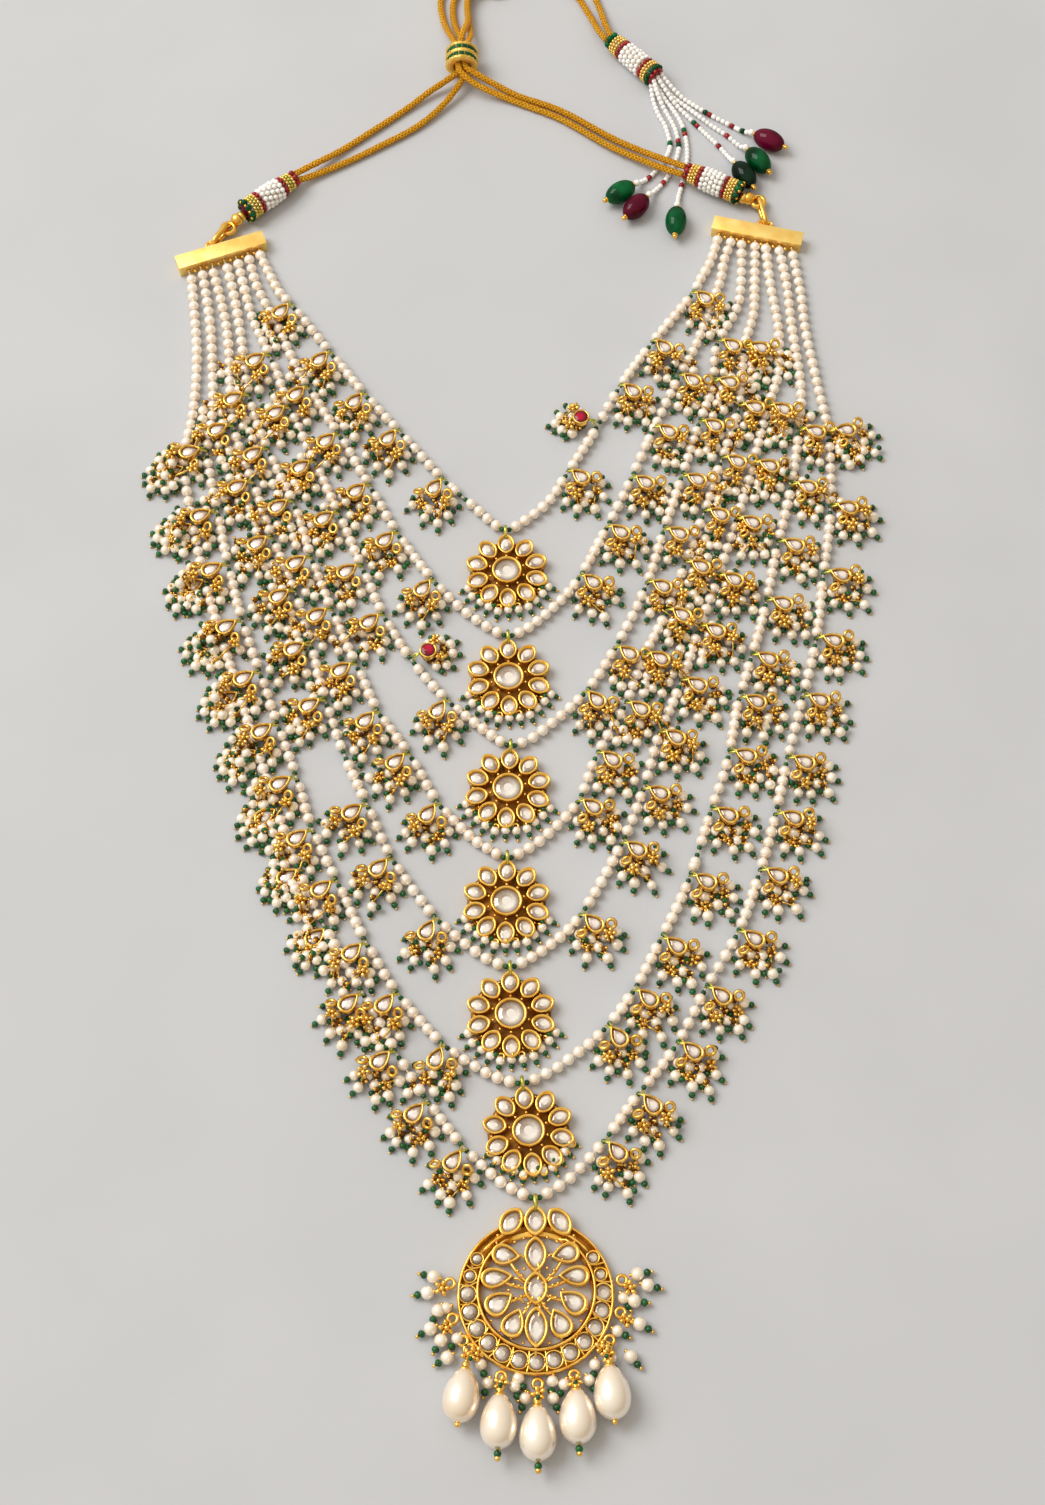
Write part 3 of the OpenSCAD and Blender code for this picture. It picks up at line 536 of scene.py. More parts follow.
# %% Make the cords
def braided(name, route):
    """A braided cord along its route, with a map that runs round it and along it."""
    line = smooth_line(np.array(route) / MM, 8)
    line[:, 2] = np.maximum(line[:, 2], CORD_LOW)
    run = lengths(line)[-1]
    along_it = np.linspace(0, run, int(run / CORD_STEP) + 1)
    line = at_length(line, along_it)
    points, faces = tube(line, CORD_D / MM / 2, CORD_SIDES)
    a = 2 * np.pi * np.arange(CORD_SIDES) / CORD_SIDES
    rows = points.reshape(len(line), CORD_SIDES, 3)
    wind = 2 * np.pi * along_it[:, None] / CORD_TURN
    swell = np.maximum(np.cos(2 * a + wind), np.cos(2 * a - wind))
    rows = line[:, None] + (rows - line[:, None]) * (1 - SWELL + SWELL * swell)[..., None]
    cord = part(name + "_braid", (rows.reshape(-1, 3), faces), zari)
    sheet = cord.data.uv_layers.new(name="cord")
    for face in cord.data.polygons:
        wrap = {k % CORD_SIDES for k in face.vertices} >= {0, CORD_SIDES - 1}
        for corner, k in zip(face.loop_indices, face.vertices):
            share = (k % CORD_SIDES) / CORD_SIDES + (1 if wrap and k % CORD_SIDES == 0 else 0)
            sheet.data[corner].uv = (share, along_it[k // CORD_SIDES] * MM / CORD_D)
    return finished(cord, "zari_cord", name), line * MM, run * MM


cords = {name: braided(name, route) for name, route in dori_routes.items()}
for name, (_, _, length) in cords.items():
    print(name, "is", round(length, 3), "m long")

# %% [markdown]
# ## Copies by Geometry Nodes
#
# A thousand pearls aren't modelled one by one. One node tree puts copies of a pattern on marks, a
# cloud of points that each carry a turn and a size. The other threads beads on lines, as many as
# the line's own count says, and lets each differ a little in size. Both end by making the copies
# real and giving them their finish, and the result is kept as a plain mesh.

# %% How the two trees begin and end
def new_tree(name, inputs):
    """A node tree, what it is given, and the pattern's geometry in it."""
    tree = bpy.data.node_groups.new(name, "GeometryNodeTree")
    tree.interface.new_socket(name="Geometry", in_out="INPUT", socket_type="NodeSocketGeometry")
    for title, kind, value in inputs:
        socket = tree.interface.new_socket(name=title, in_out="INPUT", socket_type=kind)
        if value is not None:
            socket.default_value = value
    tree.interface.new_socket(name="Geometry", in_out="OUTPUT", socket_type="NodeSocketGeometry")
    given = add(tree, "NodeGroupInput").outputs
    pattern = add(tree, "GeometryNodeObjectInfo", Object=given["Pattern"]).outputs["Geometry"]
    return tree, given, pattern


def read_mark(tree, name, kind):
    reader = add(tree, "GeometryNodeInputNamedAttribute", Name=name)
    reader.data_type = kind
    return next(s for s in reader.outputs if s.enabled and s.name == "Attribute")


def make_real(tree, given, spread):
    """Ends a tree: the copies are made real and take their finish."""
    real = add(tree, "GeometryNodeRealizeInstances", Geometry=spread.outputs["Instances"])
    coat = add(tree, "GeometryNodeSetMaterial", Geometry=real.outputs["Geometry"],
               Material=given["Material"])
    add(tree, "NodeGroupOutput", Geometry=coat.outputs["Geometry"])


# %% Tree: copies on marks
tree, given, pattern = new_tree("copies on marks", [
    ("Pattern", "NodeSocketObject", None), ("Size", "NodeSocketFloat", 1.0),
    ("Material", "NodeSocketMaterial", None)])
turn_in = add(tree, "FunctionNodeEulerToRotation", Euler=read_mark(tree, "turn", "FLOAT_VECTOR"))
sized = add(tree, "ShaderNodeVectorMath")
sized.operation = "SCALE"
feed(tree, sized.inputs["Vector"], read_mark(tree, "size", "FLOAT_VECTOR"))
feed(tree, sized.inputs["Scale"], given["Size"])
make_real(tree, given, add(
    tree, "GeometryNodeInstanceOnPoints", Points=given["Geometry"], Instance=pattern,
    Rotation=turn_in.outputs[0], Scale=sized.outputs[0]))
copies_on_marks = tree

# %% Tree: beads on a thread
tree, given, pattern = new_tree("beads on a thread", [
    ("Pattern", "NodeSocketObject", None), ("Smallest", "NodeSocketFloat", 0.95),
    ("Largest", "NodeSocketFloat", 1.03), ("Seed", "NodeSocketInt", 1),
    ("Material", "NodeSocketMaterial", None)])
thread_line = add(tree, "GeometryNodeMeshToCurve", Mesh=given["Geometry"])
threaded = add(tree, "GeometryNodeCurveToPoints", Curve=thread_line.outputs[0])
threaded.mode = "COUNT"
feed(tree, threaded.inputs["Count"], read_mark(tree, "beads", "INT"))
differ = add(tree, "FunctionNodeRandomValue", Seed=given["Seed"])
for socket, limit in zip([s for s in differ.inputs if s.enabled], ("Smallest", "Largest")):
    feed(tree, socket, given[limit])
make_real(tree, given, add(
    tree, "GeometryNodeInstanceOnPoints", Points=threaded.outputs["Points"], Instance=pattern,
    Rotation=threaded.outputs["Rotation"], Scale=next(s for s in differ.outputs if s.enabled)))
beads_on_thread = tree


# %% Run a tree and keep its mesh
def run_tree(holder, tree, **values):
    """Runs a node tree on an object and keeps the result as its plain mesh."""
    modifier = holder.modifiers.new(tree.name, "NODES")
    modifier.node_group = tree
    for item in tree.interface.items_tree:
        if item.in_out == "INPUT" and item.name in values:
            modifier[item.identifier] = values[item.name]
    graph = bpy.context.evaluated_depsgraph_get()
    mesh = bpy.data.meshes.new_from_object(holder.evaluated_get(graph))
    holder.modifiers.clear()
    holder.data = mesh
    for name in ("turn", "size", "beads"):
        if name in mesh.attributes:
            mesh.attributes.remove(mesh.attributes[name])
    return holder


def copies(name, pattern, marks, material):
    """Copies of a pattern on marks, each (place in mm, turn in degrees, size)."""
    mesh = bpy.data.meshes.new(name)
    mesh.from_pydata([tuple(np.array(spot) * MM) for spot, _, _ in marks], [], [])
    turns = np.radians(np.array([t if np.ndim(t) else (0, 0, t) for _, t, _ in marks], np.float32))
    sizes = np.array([(size,) * 3 for _, _, size in marks], np.float32)
    for title, values in (("turn", turns), ("size", sizes)):
        attribute = mesh.attributes.new(title, "FLOAT_VECTOR", "POINT")
        attribute.data.foreach_set("vector", values.ravel())
    return run_tree(as_object(name, mesh), copies_on_marks, Pattern=patterns[pattern], Size=1.0,
                    Material=material)


def threaded_beads(name, pattern, stretches, material, seed, smallest=0.95, largest=1.03):
    """Beads on lines, each (points in mm, how many beads), or on loops if their ends meet."""
    points, edges, counts = [], [], []
    for line, count in stretches:
        start, last = len(points), len(line) - 1
        if np.allclose(line[0], line[-1]):
            line, last = line[:-1], last - 1
            edges.append((start + last, start))
        points += [tuple(p * MM) for p in line]
        edges += [(start + k, start + k + 1) for k in range(last)]
        counts += [count] * len(line)
    mesh = bpy.data.meshes.new(name)
    mesh.from_pydata(points, edges, [])
    mesh.attributes.new("beads", "INT", "POINT").data.foreach_set("value", counts)
    return run_tree(as_object(name, mesh), beads_on_thread, Pattern=patterns[pattern],
                    Smallest=smallest, Largest=largest, Seed=seed, Material=material)


def joined(name, pieces):
    """Several meshes as one object, with one finish each."""
    with bpy.context.temp_override(active_object=pieces[0], selected_editable_objects=pieces):
        if len(pieces) > 1:
            bpy.ops.object.join()
    pieces[0].name = name
    return pieces[0]


# %% [markdown]
# ## The patterns
#
# These are the small things that the copies are made of. A pattern that is used hundreds of times
# has only a few dozen faces. The pear setting is a stack of pear outlines: a foot, a waist, a round
# rim, and back down inside to a floor. A rosette is a ball with five petals round it. Stones are
# flat shaded, because their facets should flash one by one.

# %% Setting and stone
# Each ring of a stone, from below: share of its width, height from its top, place on its map
STONE_RINGS = [(1.0, -0.9, 1.0), (0.98, -0.4, 0.95), (0.66, -0.1, 0.66), (0.34, 0.0, 0.34)]
# The facets' painted light is brightest at this turn from +X, clockwise and in radians
PAINTED_LIGHT_TURN = 0.9


def cup(width, length, height, rim=0.7, sides=20, leaf=0.0):
    """A cup of sheet metal with a round rim: a pear or a leaf, or round if it has no length."""
    h = height
    profile = [(0.4, 0), (0.15, 0.2), (0.12, 0.42 * h), (0.3, 0.55 * h), (0.12, 0.7 * h),
               (0.0, h - 0.5), (0.06, h - 0.16), (0.3 * rim, h), (0.7 * rim, h - 0.02),
               (rim, h - 0.22), (rim + 0.1, h - 0.6), (rim + 0.15, h - 1.3)]
    if not length:
        return lathe([(width / 2 - inset, z) for inset, z in profile], sides)
    return skin([upright(pear_loop(width - 2 * inset, length - 2.6 * inset, sides, leaf), z)
                 for inset, z in profile])


def stone_mesh(name, width, length, top, sides=12, leaf=0.0):
    """A stone with slanted sides, a ring of facets and a small flat top; round with no length."""
    mesh = as_mesh(name, skin([upright(
        pear_loop(width * share, length * share, sides, leaf) if length
        else round_loop(width / 2 * share, sides), top + z) for share, z, _ in STONE_RINGS]), False)
    # The map carries painted light: each facet's brightness by its turn, a little more on every
    # other facet, and bright on the top
    sheet = mesh.uv_layers.new(name="stone")
    for face in mesh.polygons:
        a = math.atan2(face.center.y, face.center.x)
        painted_light = 0.5 + 0.45 * math.cos(a + PAINTED_LIGHT_TURN) + 0.05 * (face.index % 2)
        if len(face.vertices) > 4:
            painted_light = 0.85
        for corner, vertex in zip(face.loop_indices, face.vertices):
            sheet.data[corner].uv = (STONE_RINGS[vertex // sides][2], painted_light)
    return mesh


# %% Beads and grains
shapes = {
    "string_pearl": ball(2.03, 12, 8, 0.96),
    "row_bead": ball(1.0, 8, 5, 0.94),
    "short_bead": lathe([(0.55, -0.9), (0.9, -0.68), (1.0, 0), (0.9, 0.68), (0.55, 0.9)], 8),
    "heap": ball(2.4, 9, 5, 0.85),
    "green": ball(1.08, 8, 5, 0.82),
    "pin": ball(0.56, 6, 4),
    "grain": ball(0.42, 6, 3),
    "big_grain": ball(0.62, 8, 5),
    "loop": wire_ring(1.2, 0.48, 12, 6),
    "v_bail": together([tube([(s * 0.9, 5.9, -0.4), (s * 0.6, 4.9, 0.9), (s * 0.15, 3.6, 1.5),
                              (0, 2.9, 1.6)], [0.32, 0.42, 0.42, 0.36], 6) for s in (-1, 1)]),
    "rosette": together([ball(0.85, 8, 4, at=(0, 0, 0.85))] + [
        laid(ball(0.78, 7, 4, 1.5), (*polar(72 * k, 1.3), 0.2 + 0.2 * (k % 2)),
             (*polar(72 * k), 0.45)) for k in range(5)]),
    "setting": cup(5.7, 8.2, 2.6, 0.75),
    "red_setting": cup(6.1, None, 2.6, 0.7),
    "petal": cup(6.1, 7.9, 4.0, 0.72, 28, 0.22),
    "heart": cup(10.5, None, 4.9, 0.85, 40)}
pattern_meshes = {name: as_mesh(name, shape) for name, shape in shapes.items()}
pattern_meshes |= {
    "setting_stone": stone_mesh("setting_stone", 3.9, 5.6, 2.2),
    "red_stone": stone_mesh("red_stone", 4.8, None, 2.9, 14),
    "petal_stone": stone_mesh("petal_stone", 4.5, 6.0, 3.3, 16, 0.22),
    "heart_stone": stone_mesh("heart_stone", 8.7, None, 4.4, 24)}
dot = bmesh.new()
bmesh.ops.create_icosphere(dot, subdivisions=2, radius=1.5 * MM)
pattern_meshes["small_pearl"] = small_pearl = bpy.data.meshes.new("small_pearl")
dot.to_mesh(small_pearl)
dot.free()
small_pearl.polygons.foreach_set("use_smooth", [True] * len(small_pearl.polygons))
patterns = {name: as_object("pattern_" + name, mesh) for name, mesh in pattern_meshes.items()}
print("patterns:", ", ".join(patterns))

# %% [markdown]
# ## The seven strings
#
# Each string is laid along listed points from its hole in the bar to the bail of its pendant.
# Charms interrupt the pearls: at each stop a charm's bail sits between two green seed beads.
# So a string is cut into stretches between its stops, and each stretch takes as many pearls as fit.

# %% Routes of the strings
# Each bar: x, y, turn, order of its holes, place of its ring
bars = [(-109.5, 169.6, 20.5, -1, -1.6), (91, 178.4, -13.4, 1, 2.2)]
left_routes = [
    [(-95, 169), (-91, 160), (-87, 152), (-82, 146), (-67, 125), (-54, 107), (-41, 91), (-25, 71),
     (-15, 61), (-8, 54)],
    [(-99, 167), (-96, 156), (-92, 147), (-87, 137), (-78, 116), (-63, 90), (-51, 68), (-41, 49),
     (-28, 30), (-18, 19), (-9, 12)],
    [(-103, 165), (-100, 153), (-96, 139), (-89, 123), (-81, 101), (-71, 78), (-62, 57), (-53, 35),
     (-45, 16), (-35, -1), (-22, -17), (-8, -29)],
    [(-107, 163), (-104, 151), (-101, 136), (-96, 106), (-88, 83), (-78, 61), (-71, 39), (-63, 18),
     (-54, -3), (-46, -21), (-35, -37), (-25, -55), (-13, -68)],
    [(-112, 161), (-108, 146), (-105, 130), (-101, 93), (-93, 70), (-85, 47), (-76, 25), (-70, 5),
     (-64, -17), (-57, -37), (-49, -55), (-40, -75), (-25, -96), (-10, -109)],
    [(-116, 160), (-113, 144), (-111, 129), (-109, 100), (-110, 82), (-105, 58), (-100, 36),
     (-94, 14), (-87, -6), (-80, -26), (-73, -45), (-67, -64), (-58, -83), (-48, -104), (-37, -122),
     (-22, -139), (-7, -149)],
    [(-120, 158), (-118, 142), (-116, 123), (-116, 100), (-118, 78), (-113, 51), (-107, 27),
     (-100, 5), (-93, -16), (-86, -37), (-79, -57), (-72, -76), (-62, -98), (-47, -124),
     (-37, -142), (-26, -159), (-14, -174), (-3, -184)]]
right_routes = [
    [(76, 176), (73, 166), (69, 158), (65, 150), (50, 129), (38, 110), (29, 92), (19, 74), (12, 62),
     (2, 53)],
    [(81, 175), (78, 166), (76, 156), (67, 130), (59, 113), (50, 92), (41, 70), (32, 50), (22, 30),
     (12, 18), (4, 11)],
    [(85, 174), (84, 156), (82, 145), (74, 128), (72, 111), (66, 93), (59, 70), (52, 48), (46, 28),
     (34, 2), (23, -15), (7, -30)],
    [(90, 173), (89, 154), (88, 142), (84, 127), (81, 101), (74, 79), (67, 57), (60, 37), (53, 18),
     (45, 1), (38, -18), (28, -37), (21, -55), (8, -69)],
    [(94, 172), (95, 155), (97, 136), (96, 116), (91, 100), (85, 76), (78, 53), (71, 31), (64, 11),
     (57, -10), (49, -30), (43, -51), (35, -71), (21, -96), (8, -108)],
    [(99, 171), (101, 155), (102, 136), (104, 110), (102, 89), (98, 66), (92, 42), (87, 19),
     (81, -2), (76, -19), (72, -39), (65, -60), (57, -84), (47, -105), (38, -122), (27, -136),
     (13, -147)],
    [(104, 169), (106, 152), (107, 135), (110, 112), (113, 89), (112, 59), (108, 32), (104, 6),
     (98, -17), (92, -39), (87, -60), (81, -80), (73, -101), (62, -120), (52, -139), (39, -156),
     (28, -171), (17, -183)]]
# Each pendant's bail: x, y, turn, distance to the pendant's middle
bails = [(-3, 50, 2, 16.6), (-2, 8, 1, 16.2), (-1, -34, -3, 15.8), (-2, -75, -1, 15.4),
         (-1, -113, 1, 16), (3, -152, 7, 15.6), (7, -189, 0, 29.8)]

# %% Stops of the charms
# Distance of each charm's bail from the bar, along its string
left_charms = [
    [27, 53, 75, 95, 121],
    [63, 86, 110, 132, 155],
    [44, 68, 93, 116, 139, 160, 200],
    [58, 82, 106, 130, 152, 175, 195, 214, 235],
    [69, 94, 118, 141, 163, 185, 227, 248, 274],
    [78, 104, 126, 149, 170, 191, 212, 232, 252, 276, 296, 319],
    [82, 106, 129, 152, 175, 198, 221, 244, 267, 293, 315, 335, 354]]
right_charms = [
    [27, 53, 76, 117],
    [64, 88, 111, 133, 155],
    [46, 64, 82, 106, 129, 151, 179, 199],
    [46, 72, 95, 118, 140, 160, 179, 199, 220, 239],
    [71, 96, 120, 144, 165, 187, 208, 230, 251, 280],
    [80, 103, 127, 151, 173, 190, 211, 233, 258, 282, 302, 317],
    [79, 110, 137, 163, 186, 210, 231, 252, 275, 297, 318, 339, 358]]
# The two red charms: string, side, distance, direction
red_charms = [(2, 0, 180, 18), (0, 1, 95, 166)]
# Stops with only green beads: string, side, distance
plain_stops = [(0, 0, 131), (1, 1, 93), (4, 0, 206), (5, 1, 248)]
PEARL_R = 2.0
PEARL_GAP = 4.03
STOP_ROOM = 2.1
HOLE_GAP = 4.6
# A charm hangs a little less than square to its string, and its bunch sags by its lean
CHARM_TURN, CHARM_LEAN = 76, 30
# The seventh string's charms on the left are tucked under the sixth's up to this distance
TUCKED_TO = 280

# %% Lay out the strings
routes = [left_routes, right_routes]
charm_lists = [left_charms, right_charms]


def on_bar(bar, x, y):
    return np.array(bar[:2]) + polar(bar[2], x) + polar(bar[2] + 90, y)


def fine_line(side, k):
    """A string's middle line from the bar to its pendant's bail, on the surface."""
    bail = np.array(bails[k][:2])
    line = smooth_line(routes[side][k], 8)
    reach = np.linalg.norm(line[-1] - bail)
    last = [bail + (line[-1] - bail) / reach * 2.6] if reach > 3 else []
    return np.vstack([line, *last, bail])


def place_on(coarse, fine, distance):
    """A place along a string's coarse line, and how far along the fine line it is."""
    p = at_length(coarse, [distance])[0]
    return p, lengths(fine)[np.argmin(np.linalg.norm(fine - p, axis=1))]


strings = {}
charms = []
for side, sign in ((0, 1), (1, -1)):
    for k in range(7):
        coarse, fine = smooth_line(routes[side][k], 2), fine_line(side, k)
        spots = charm_lists[side][k]
        stops = []
        for i, distance in enumerate(spots):
            p, where = place_on(coarse, fine, distance)
            stops.append(where)
            ahead = at_length(coarse, [distance + 1])[0] - p
            tucked = side == 0 and k == 6 and distance < TUCKED_TO
            beside = 0.39 * min(distance - spots[i - 1] if i else 40,
                                spots[i + 1] - distance if i < len(spots) - 1 else 40)
            charms.append(dict(
                string=k, at=p,
                turn=math.degrees(math.atan2(ahead[1], ahead[0])) - sign * CHARM_TURN,
                lean=sign * CHARM_LEAN, size=0.56 if tucked else 1.0, beside=beside, red=False,
                tucked=tucked))
        for s, wing, distance, turn in red_charms:
            if (s, wing) == (k, side):
                p, where = place_on(coarse, fine, distance)
                stops.append(where)
                charms.append(dict(string=k, at=p, turn=turn, lean=0, size=0.75, beside=9, red=True,
                                   tucked=False))
        stops += [place_on(coarse, fine, d)[1]
                  for s, wing, d in plain_stops if (s, wing) == (k, side)]
        strings[side, k] = fine, lengths(fine), sorted(stops)
print("charms:", len(charms), "strings:", len(strings))

# %% Thread the pearls
bar_beads = []
for k in range(7):
    stretches, threads, green_marks = [], [], []
    for side, bar in enumerate(bars):
        line, run, stops = strings[side, k]
        line, end = upright(line, PEARL_R), run[-1]
        for where in stops:
            green_marks += [(at_length(line, [where + step])[0], 0, 0.86) for step in (-1.4, 1.4)]
        green_marks.append((at_length(line, [end - 1.5])[0], 0, 0.92))
        gaps = [(0, -1.9), *((w - STOP_ROOM, w + STOP_ROOM) for w in stops), (end - 2.3, 0)]
        for (_, start), (stop, _) in zip(gaps[:-1], gaps[1:]):
            a, b = start + PEARL_R - 0.1, stop - PEARL_R + 0.1
            count = max(2, round((b - a) / PEARL_GAP) + 1)
            stretches.append((at_length(line, np.linspace(a, b, max(3, int(b - a)))), count))
        hole = bar[3] * (k - 3) * HOLE_GAP
        bar_beads.append(((*on_bar(bar, hole, -3.4), 2.5), 0, 1.2))
        if k < 6:
            bar_beads.append(((*on_bar(bar, (k - 2.5) * HOLE_GAP, -3.9), 2.0), 0, 1.45))
        threads.append(tube(np.vstack([upright([on_bar(bar, hole, -3.2)], 2.5),
                                       at_length(line, np.linspace(0, end, 160))]), 0.32, 5))
    name = f"strand_{k + 1}"
    pearls = threaded_beads(name + "_pearls", "string_pearl", stretches, pearl, 11 + k)
    finished(pearls, "pearl", name)
    finished(part(name + "_silk", together(threads), silk), "pearl")
    finished(copies(name + "_green_beads", "green", green_marks, green_bead), "emerald_glass")
finished(copies("strand_bar_beads", "pin", bar_beads, gold), "gold")
print("triangles of the strings:", count_of("strand"))

# %% [markdown]
# ## The charms settle
#
# A charm is a pear setting on its bail, two rosettes beside its foot, and a fan of pins, each with
# a pearl, a green bead and a gold head. Laid down between the strings, the pins push each
# other aside and pile up a little. That could be a physics simulation, but a few dozen rounds of a
# simple rule are quicker and always give the same pile: beads that overlap move apart, gravity
# pulls each down, and a soft pull keeps it near its place in the fan. A string only pushes beads
# sideways, so that it stays in sight on top of the bunches.

# %% Places of the pins before they settle
# Height of a setting's foot, and how far its middle is from the string
SETTING_FOOT, SETTING_AT = 4.2, 5.9
TUCKED_FOOT, TUCKED_AT = 0.4, 4.2
# The pins of a bunch: turn from its middle, distance back from its edge
PIN_FAN = [(-82, 0.9), (-50, 0.0), (-22, 0.9), (6, 0.0), (34, 0.9), (64, 0.2),
           (-36, 4.8), (0, 4.6), (34, 4.8)]
RED_FAN = [(-62, 0.2), (-38, 0.0), (-14, 0.4), (12, 0.0), (36, 0.3), (62, 0.1), (-26, 4.2),
           (24, 4.2)]
# The edge of a bunch is an ellipse: its reach at the far end and at the near end
BUNCH, RED_BUNCH = (14.6, 5.8), (13.2, 5.4)
PEARL_TO_GREEN = 2.7
# Rosettes and hollow rings round a setting: turn towards the sagging side, reach
ROSETTES = [(-8, 6.6), (60, 7.2)]
RED_ROSETTES = [(-40, 4.8), (40, 4.8)]
TUCKED_ROSETTES = [(20, 5.5)]
RINGS = [(-44, 5.8), (92, 5.2)]
random_tilt = np.random.default_rng(7)
homes, ways, rosettes, blocks = [], [], [], []
for c in charms:
    out = polar(c["turn"])
    c["foot"], reach = (TUCKED_FOOT, TUCKED_AT) if c["tucked"] else (SETTING_FOOT, SETTING_AT)
    c["middle"] = c["at"] + out * reach
    c["sag"] = 1 if c["lean"] > 0 else -1
    far, near = RED_BUNCH if c["red"] else BUNCH
    first = len(homes)
    for turn, back in RED_FAN if c["red"] else PIN_FAN:
        turn = turn + random_tilt.uniform(-6, 6)
        a = math.radians(turn)
        edge = min(2 * far * near / (far + near - (far - near) * math.cos(a)),
                   1.35 * c["beside"] / max(0.05, abs(math.sin(a))))
        ways.append(polar(c["turn"] + c["lean"] + turn))
        height = 1.6 + random_tilt.uniform(0, 2.6) + 0.5 * back
        homes.append([*(c["at"] + out * 6.0 + ways[-1] * max(2.5, c["size"] * (edge - back) - 1.6)),
                      height])
    c["pins"] = range(first, len(homes))
    first = len(rosettes)
    for turn, reach in RED_ROSETTES if c["red"] else TUCKED_ROSETTES if c["tucked"] else ROSETTES:
        spot = c["middle"] + polar(c["turn"] + c["sag"] * turn, reach * (0.6 + 0.4 * c["size"]))
        rosettes.append([*spot, c["foot"] + 0.9])
    c["rosettes"] = range(first, len(rosettes))
    blocks += [[*(c["middle"] + out * step), c["foot"] + 1.3] for step in (-1.2, 1.1)]
homes, ways, rosettes, blocks = map(np.array, (homes, ways, rosettes, blocks))
print("pins:", len(homes), "rosettes:", len(rosettes))

# %% What moves and what stands
threads = np.vstack([upright(at_length(line, np.arange(0, run[-1], 1.3)), PEARL_R)
                     for line, run, _ in strings.values()])
flower_middles = [np.array(b[:2]) + polar(b[2] - 90, b[3]) for b in bails]
petals = np.array([[*(m + polar(36 * i, 10.4)), 2.2]
                   for m in flower_middles[:6] for i in range(10)])
fixed = np.vstack([threads, blocks, petals])
n_pins = len(homes)
moving = np.vstack([homes, homes + np.column_stack([ways * PEARL_TO_GREEN, np.full(n_pins, -0.4)]),
                    rosettes])
rest = moving.copy()
# For pearls, green beads and rosettes: radius, pull towards their places, and weight
moving_r, pull, weight = (np.repeat(values, [n_pins, n_pins, len(rosettes)]) for values in (
    (1.82, 1.0, 1.7), (0.06, 0.0, 0.35), (0.22, 0.12, 0.0)))
fixed_r = np.repeat([2.0, 2.3, 3.3], [len(threads), len(blocks), len(petals)])
all_r = np.concatenate([moving_r, fixed_r])


def near_pairs(reach=5.2):
    """Pairs of moving beads, and of a moving bead and a fixed thing, that are close together."""
    spots = np.vstack([moving, fixed])
    finder = kdtree.KDTree(len(spots))
    for i, p in enumerate(spots):
        finder.insert(p, i)
    finder.balance()
    return np.array([(i, j) for i, p in enumerate(moving)
                     for _, j, _ in finder.find_range(p, reach) if j > i])


# %% Let them settle
# Rounds in all, rounds before the calm ones, rounds between two searches for pairs, highest place
ROUNDS, CALM_AFTER, PAIRS_EVERY, TOP = 72, 62, 9, 6.4
for count in range(ROUNDS):
    if count % PAIRS_EVERY == 0:
        one, other = near_pairs().T
        free = other < len(moving)
        by_thread = ~free & (other < len(moving) + len(threads))
    spots = np.vstack([moving, fixed])
    apart = spots[one] - spots[other]
    apart[by_thread, 2] = 0.0
    distance = np.maximum(np.linalg.norm(apart, axis=1), 1e-6)
    overlap = np.maximum(all_r[one] + all_r[other] - distance, 0)
    push = apart / distance[:, None] * overlap[:, None] * np.where(free, 0.5, 1.0)[:, None]
    shift, touched = np.zeros_like(moving), np.zeros(len(moving))
    np.add.at(shift, one, push)
    np.add.at(touched, one, overlap > 0)
    np.add.at(shift, other[free], -push[free])
    np.add.at(touched, other[free], overlap[free] > 0)
    moving += 1.3 * shift / np.maximum(touched, 1)[:, None]
    calm = count > CALM_AFTER
    moving[:, :2] += (rest - moving)[:, :2] * pull[:, None] * (0.3 if calm else 1)
    moving[:, 2] -= weight * (0.2 if calm else 1)
    link_way = moving[n_pins:2 * n_pins] - moving[:n_pins]
    link_way /= np.linalg.norm(link_way, axis=1)[:, None]
    moving[n_pins:2 * n_pins] = moving[:n_pins] + link_way * PEARL_TO_GREEN
    moving[:, 2] = np.clip(moving[:, 2], moving_r, TOP)
pearl_spots, green_spots, rosette_spots = np.split(moving, [n_pins, 2 * n_pins])
print("highest pearl at", round(float(pearl_spots[:, 2].max()), 1), "mm, mean",
      round(float(pearl_spots[:, 2].mean()), 1))

# %% Marks of one charm
def lying(way):
    """The turn in degrees that lays a pattern's upright axis along a way."""
    x, y, z = way / np.linalg.norm(way)
    return (0, math.degrees(math.acos(z)), math.degrees(math.atan2(y, x)))


def low_at(spot, least, lift=0.0):
    """A spot that is raised a little, but never lower than the least."""
    return spot[0], spot[1], max(least, spot[2] + lift)


def mark_charm(c, marks):
    """Adds the marks of a charm's setting, rosettes and rings."""
    place = ((*c["middle"], c["foot"]), c["turn"] + 90, 1.0)
    for name in ("red_setting" if c["red"] else "setting", "red_stone" if c["red"] else "stone",
                 "v_bail"):
        marks[name].append(place)
    # A dark heap under the setting is painted shade
    heap_at, heap = (1.2, 0.5) if c["tucked"] else (2.1, 0.95)
    marks["heap"].append(((*c["middle"], heap_at), c["turn"], heap))
    for i in c["rosettes"]:
        tilt = (24 * (i % 3 - 1), 16 * (i % 5 - 2), 37 * i)
        marks["rosette"].append((rosette_spots[i], tilt, 1.0))
    for turn, reach in [] if c["red"] or c["tucked"] else RINGS:
        turn = c["turn"] + c["sag"] * turn
        marks["loop"].append(((*(c["middle"] + polar(turn, reach)), SETTING_FOOT + 1.4),
                              (35, 0, turn), 1.25))


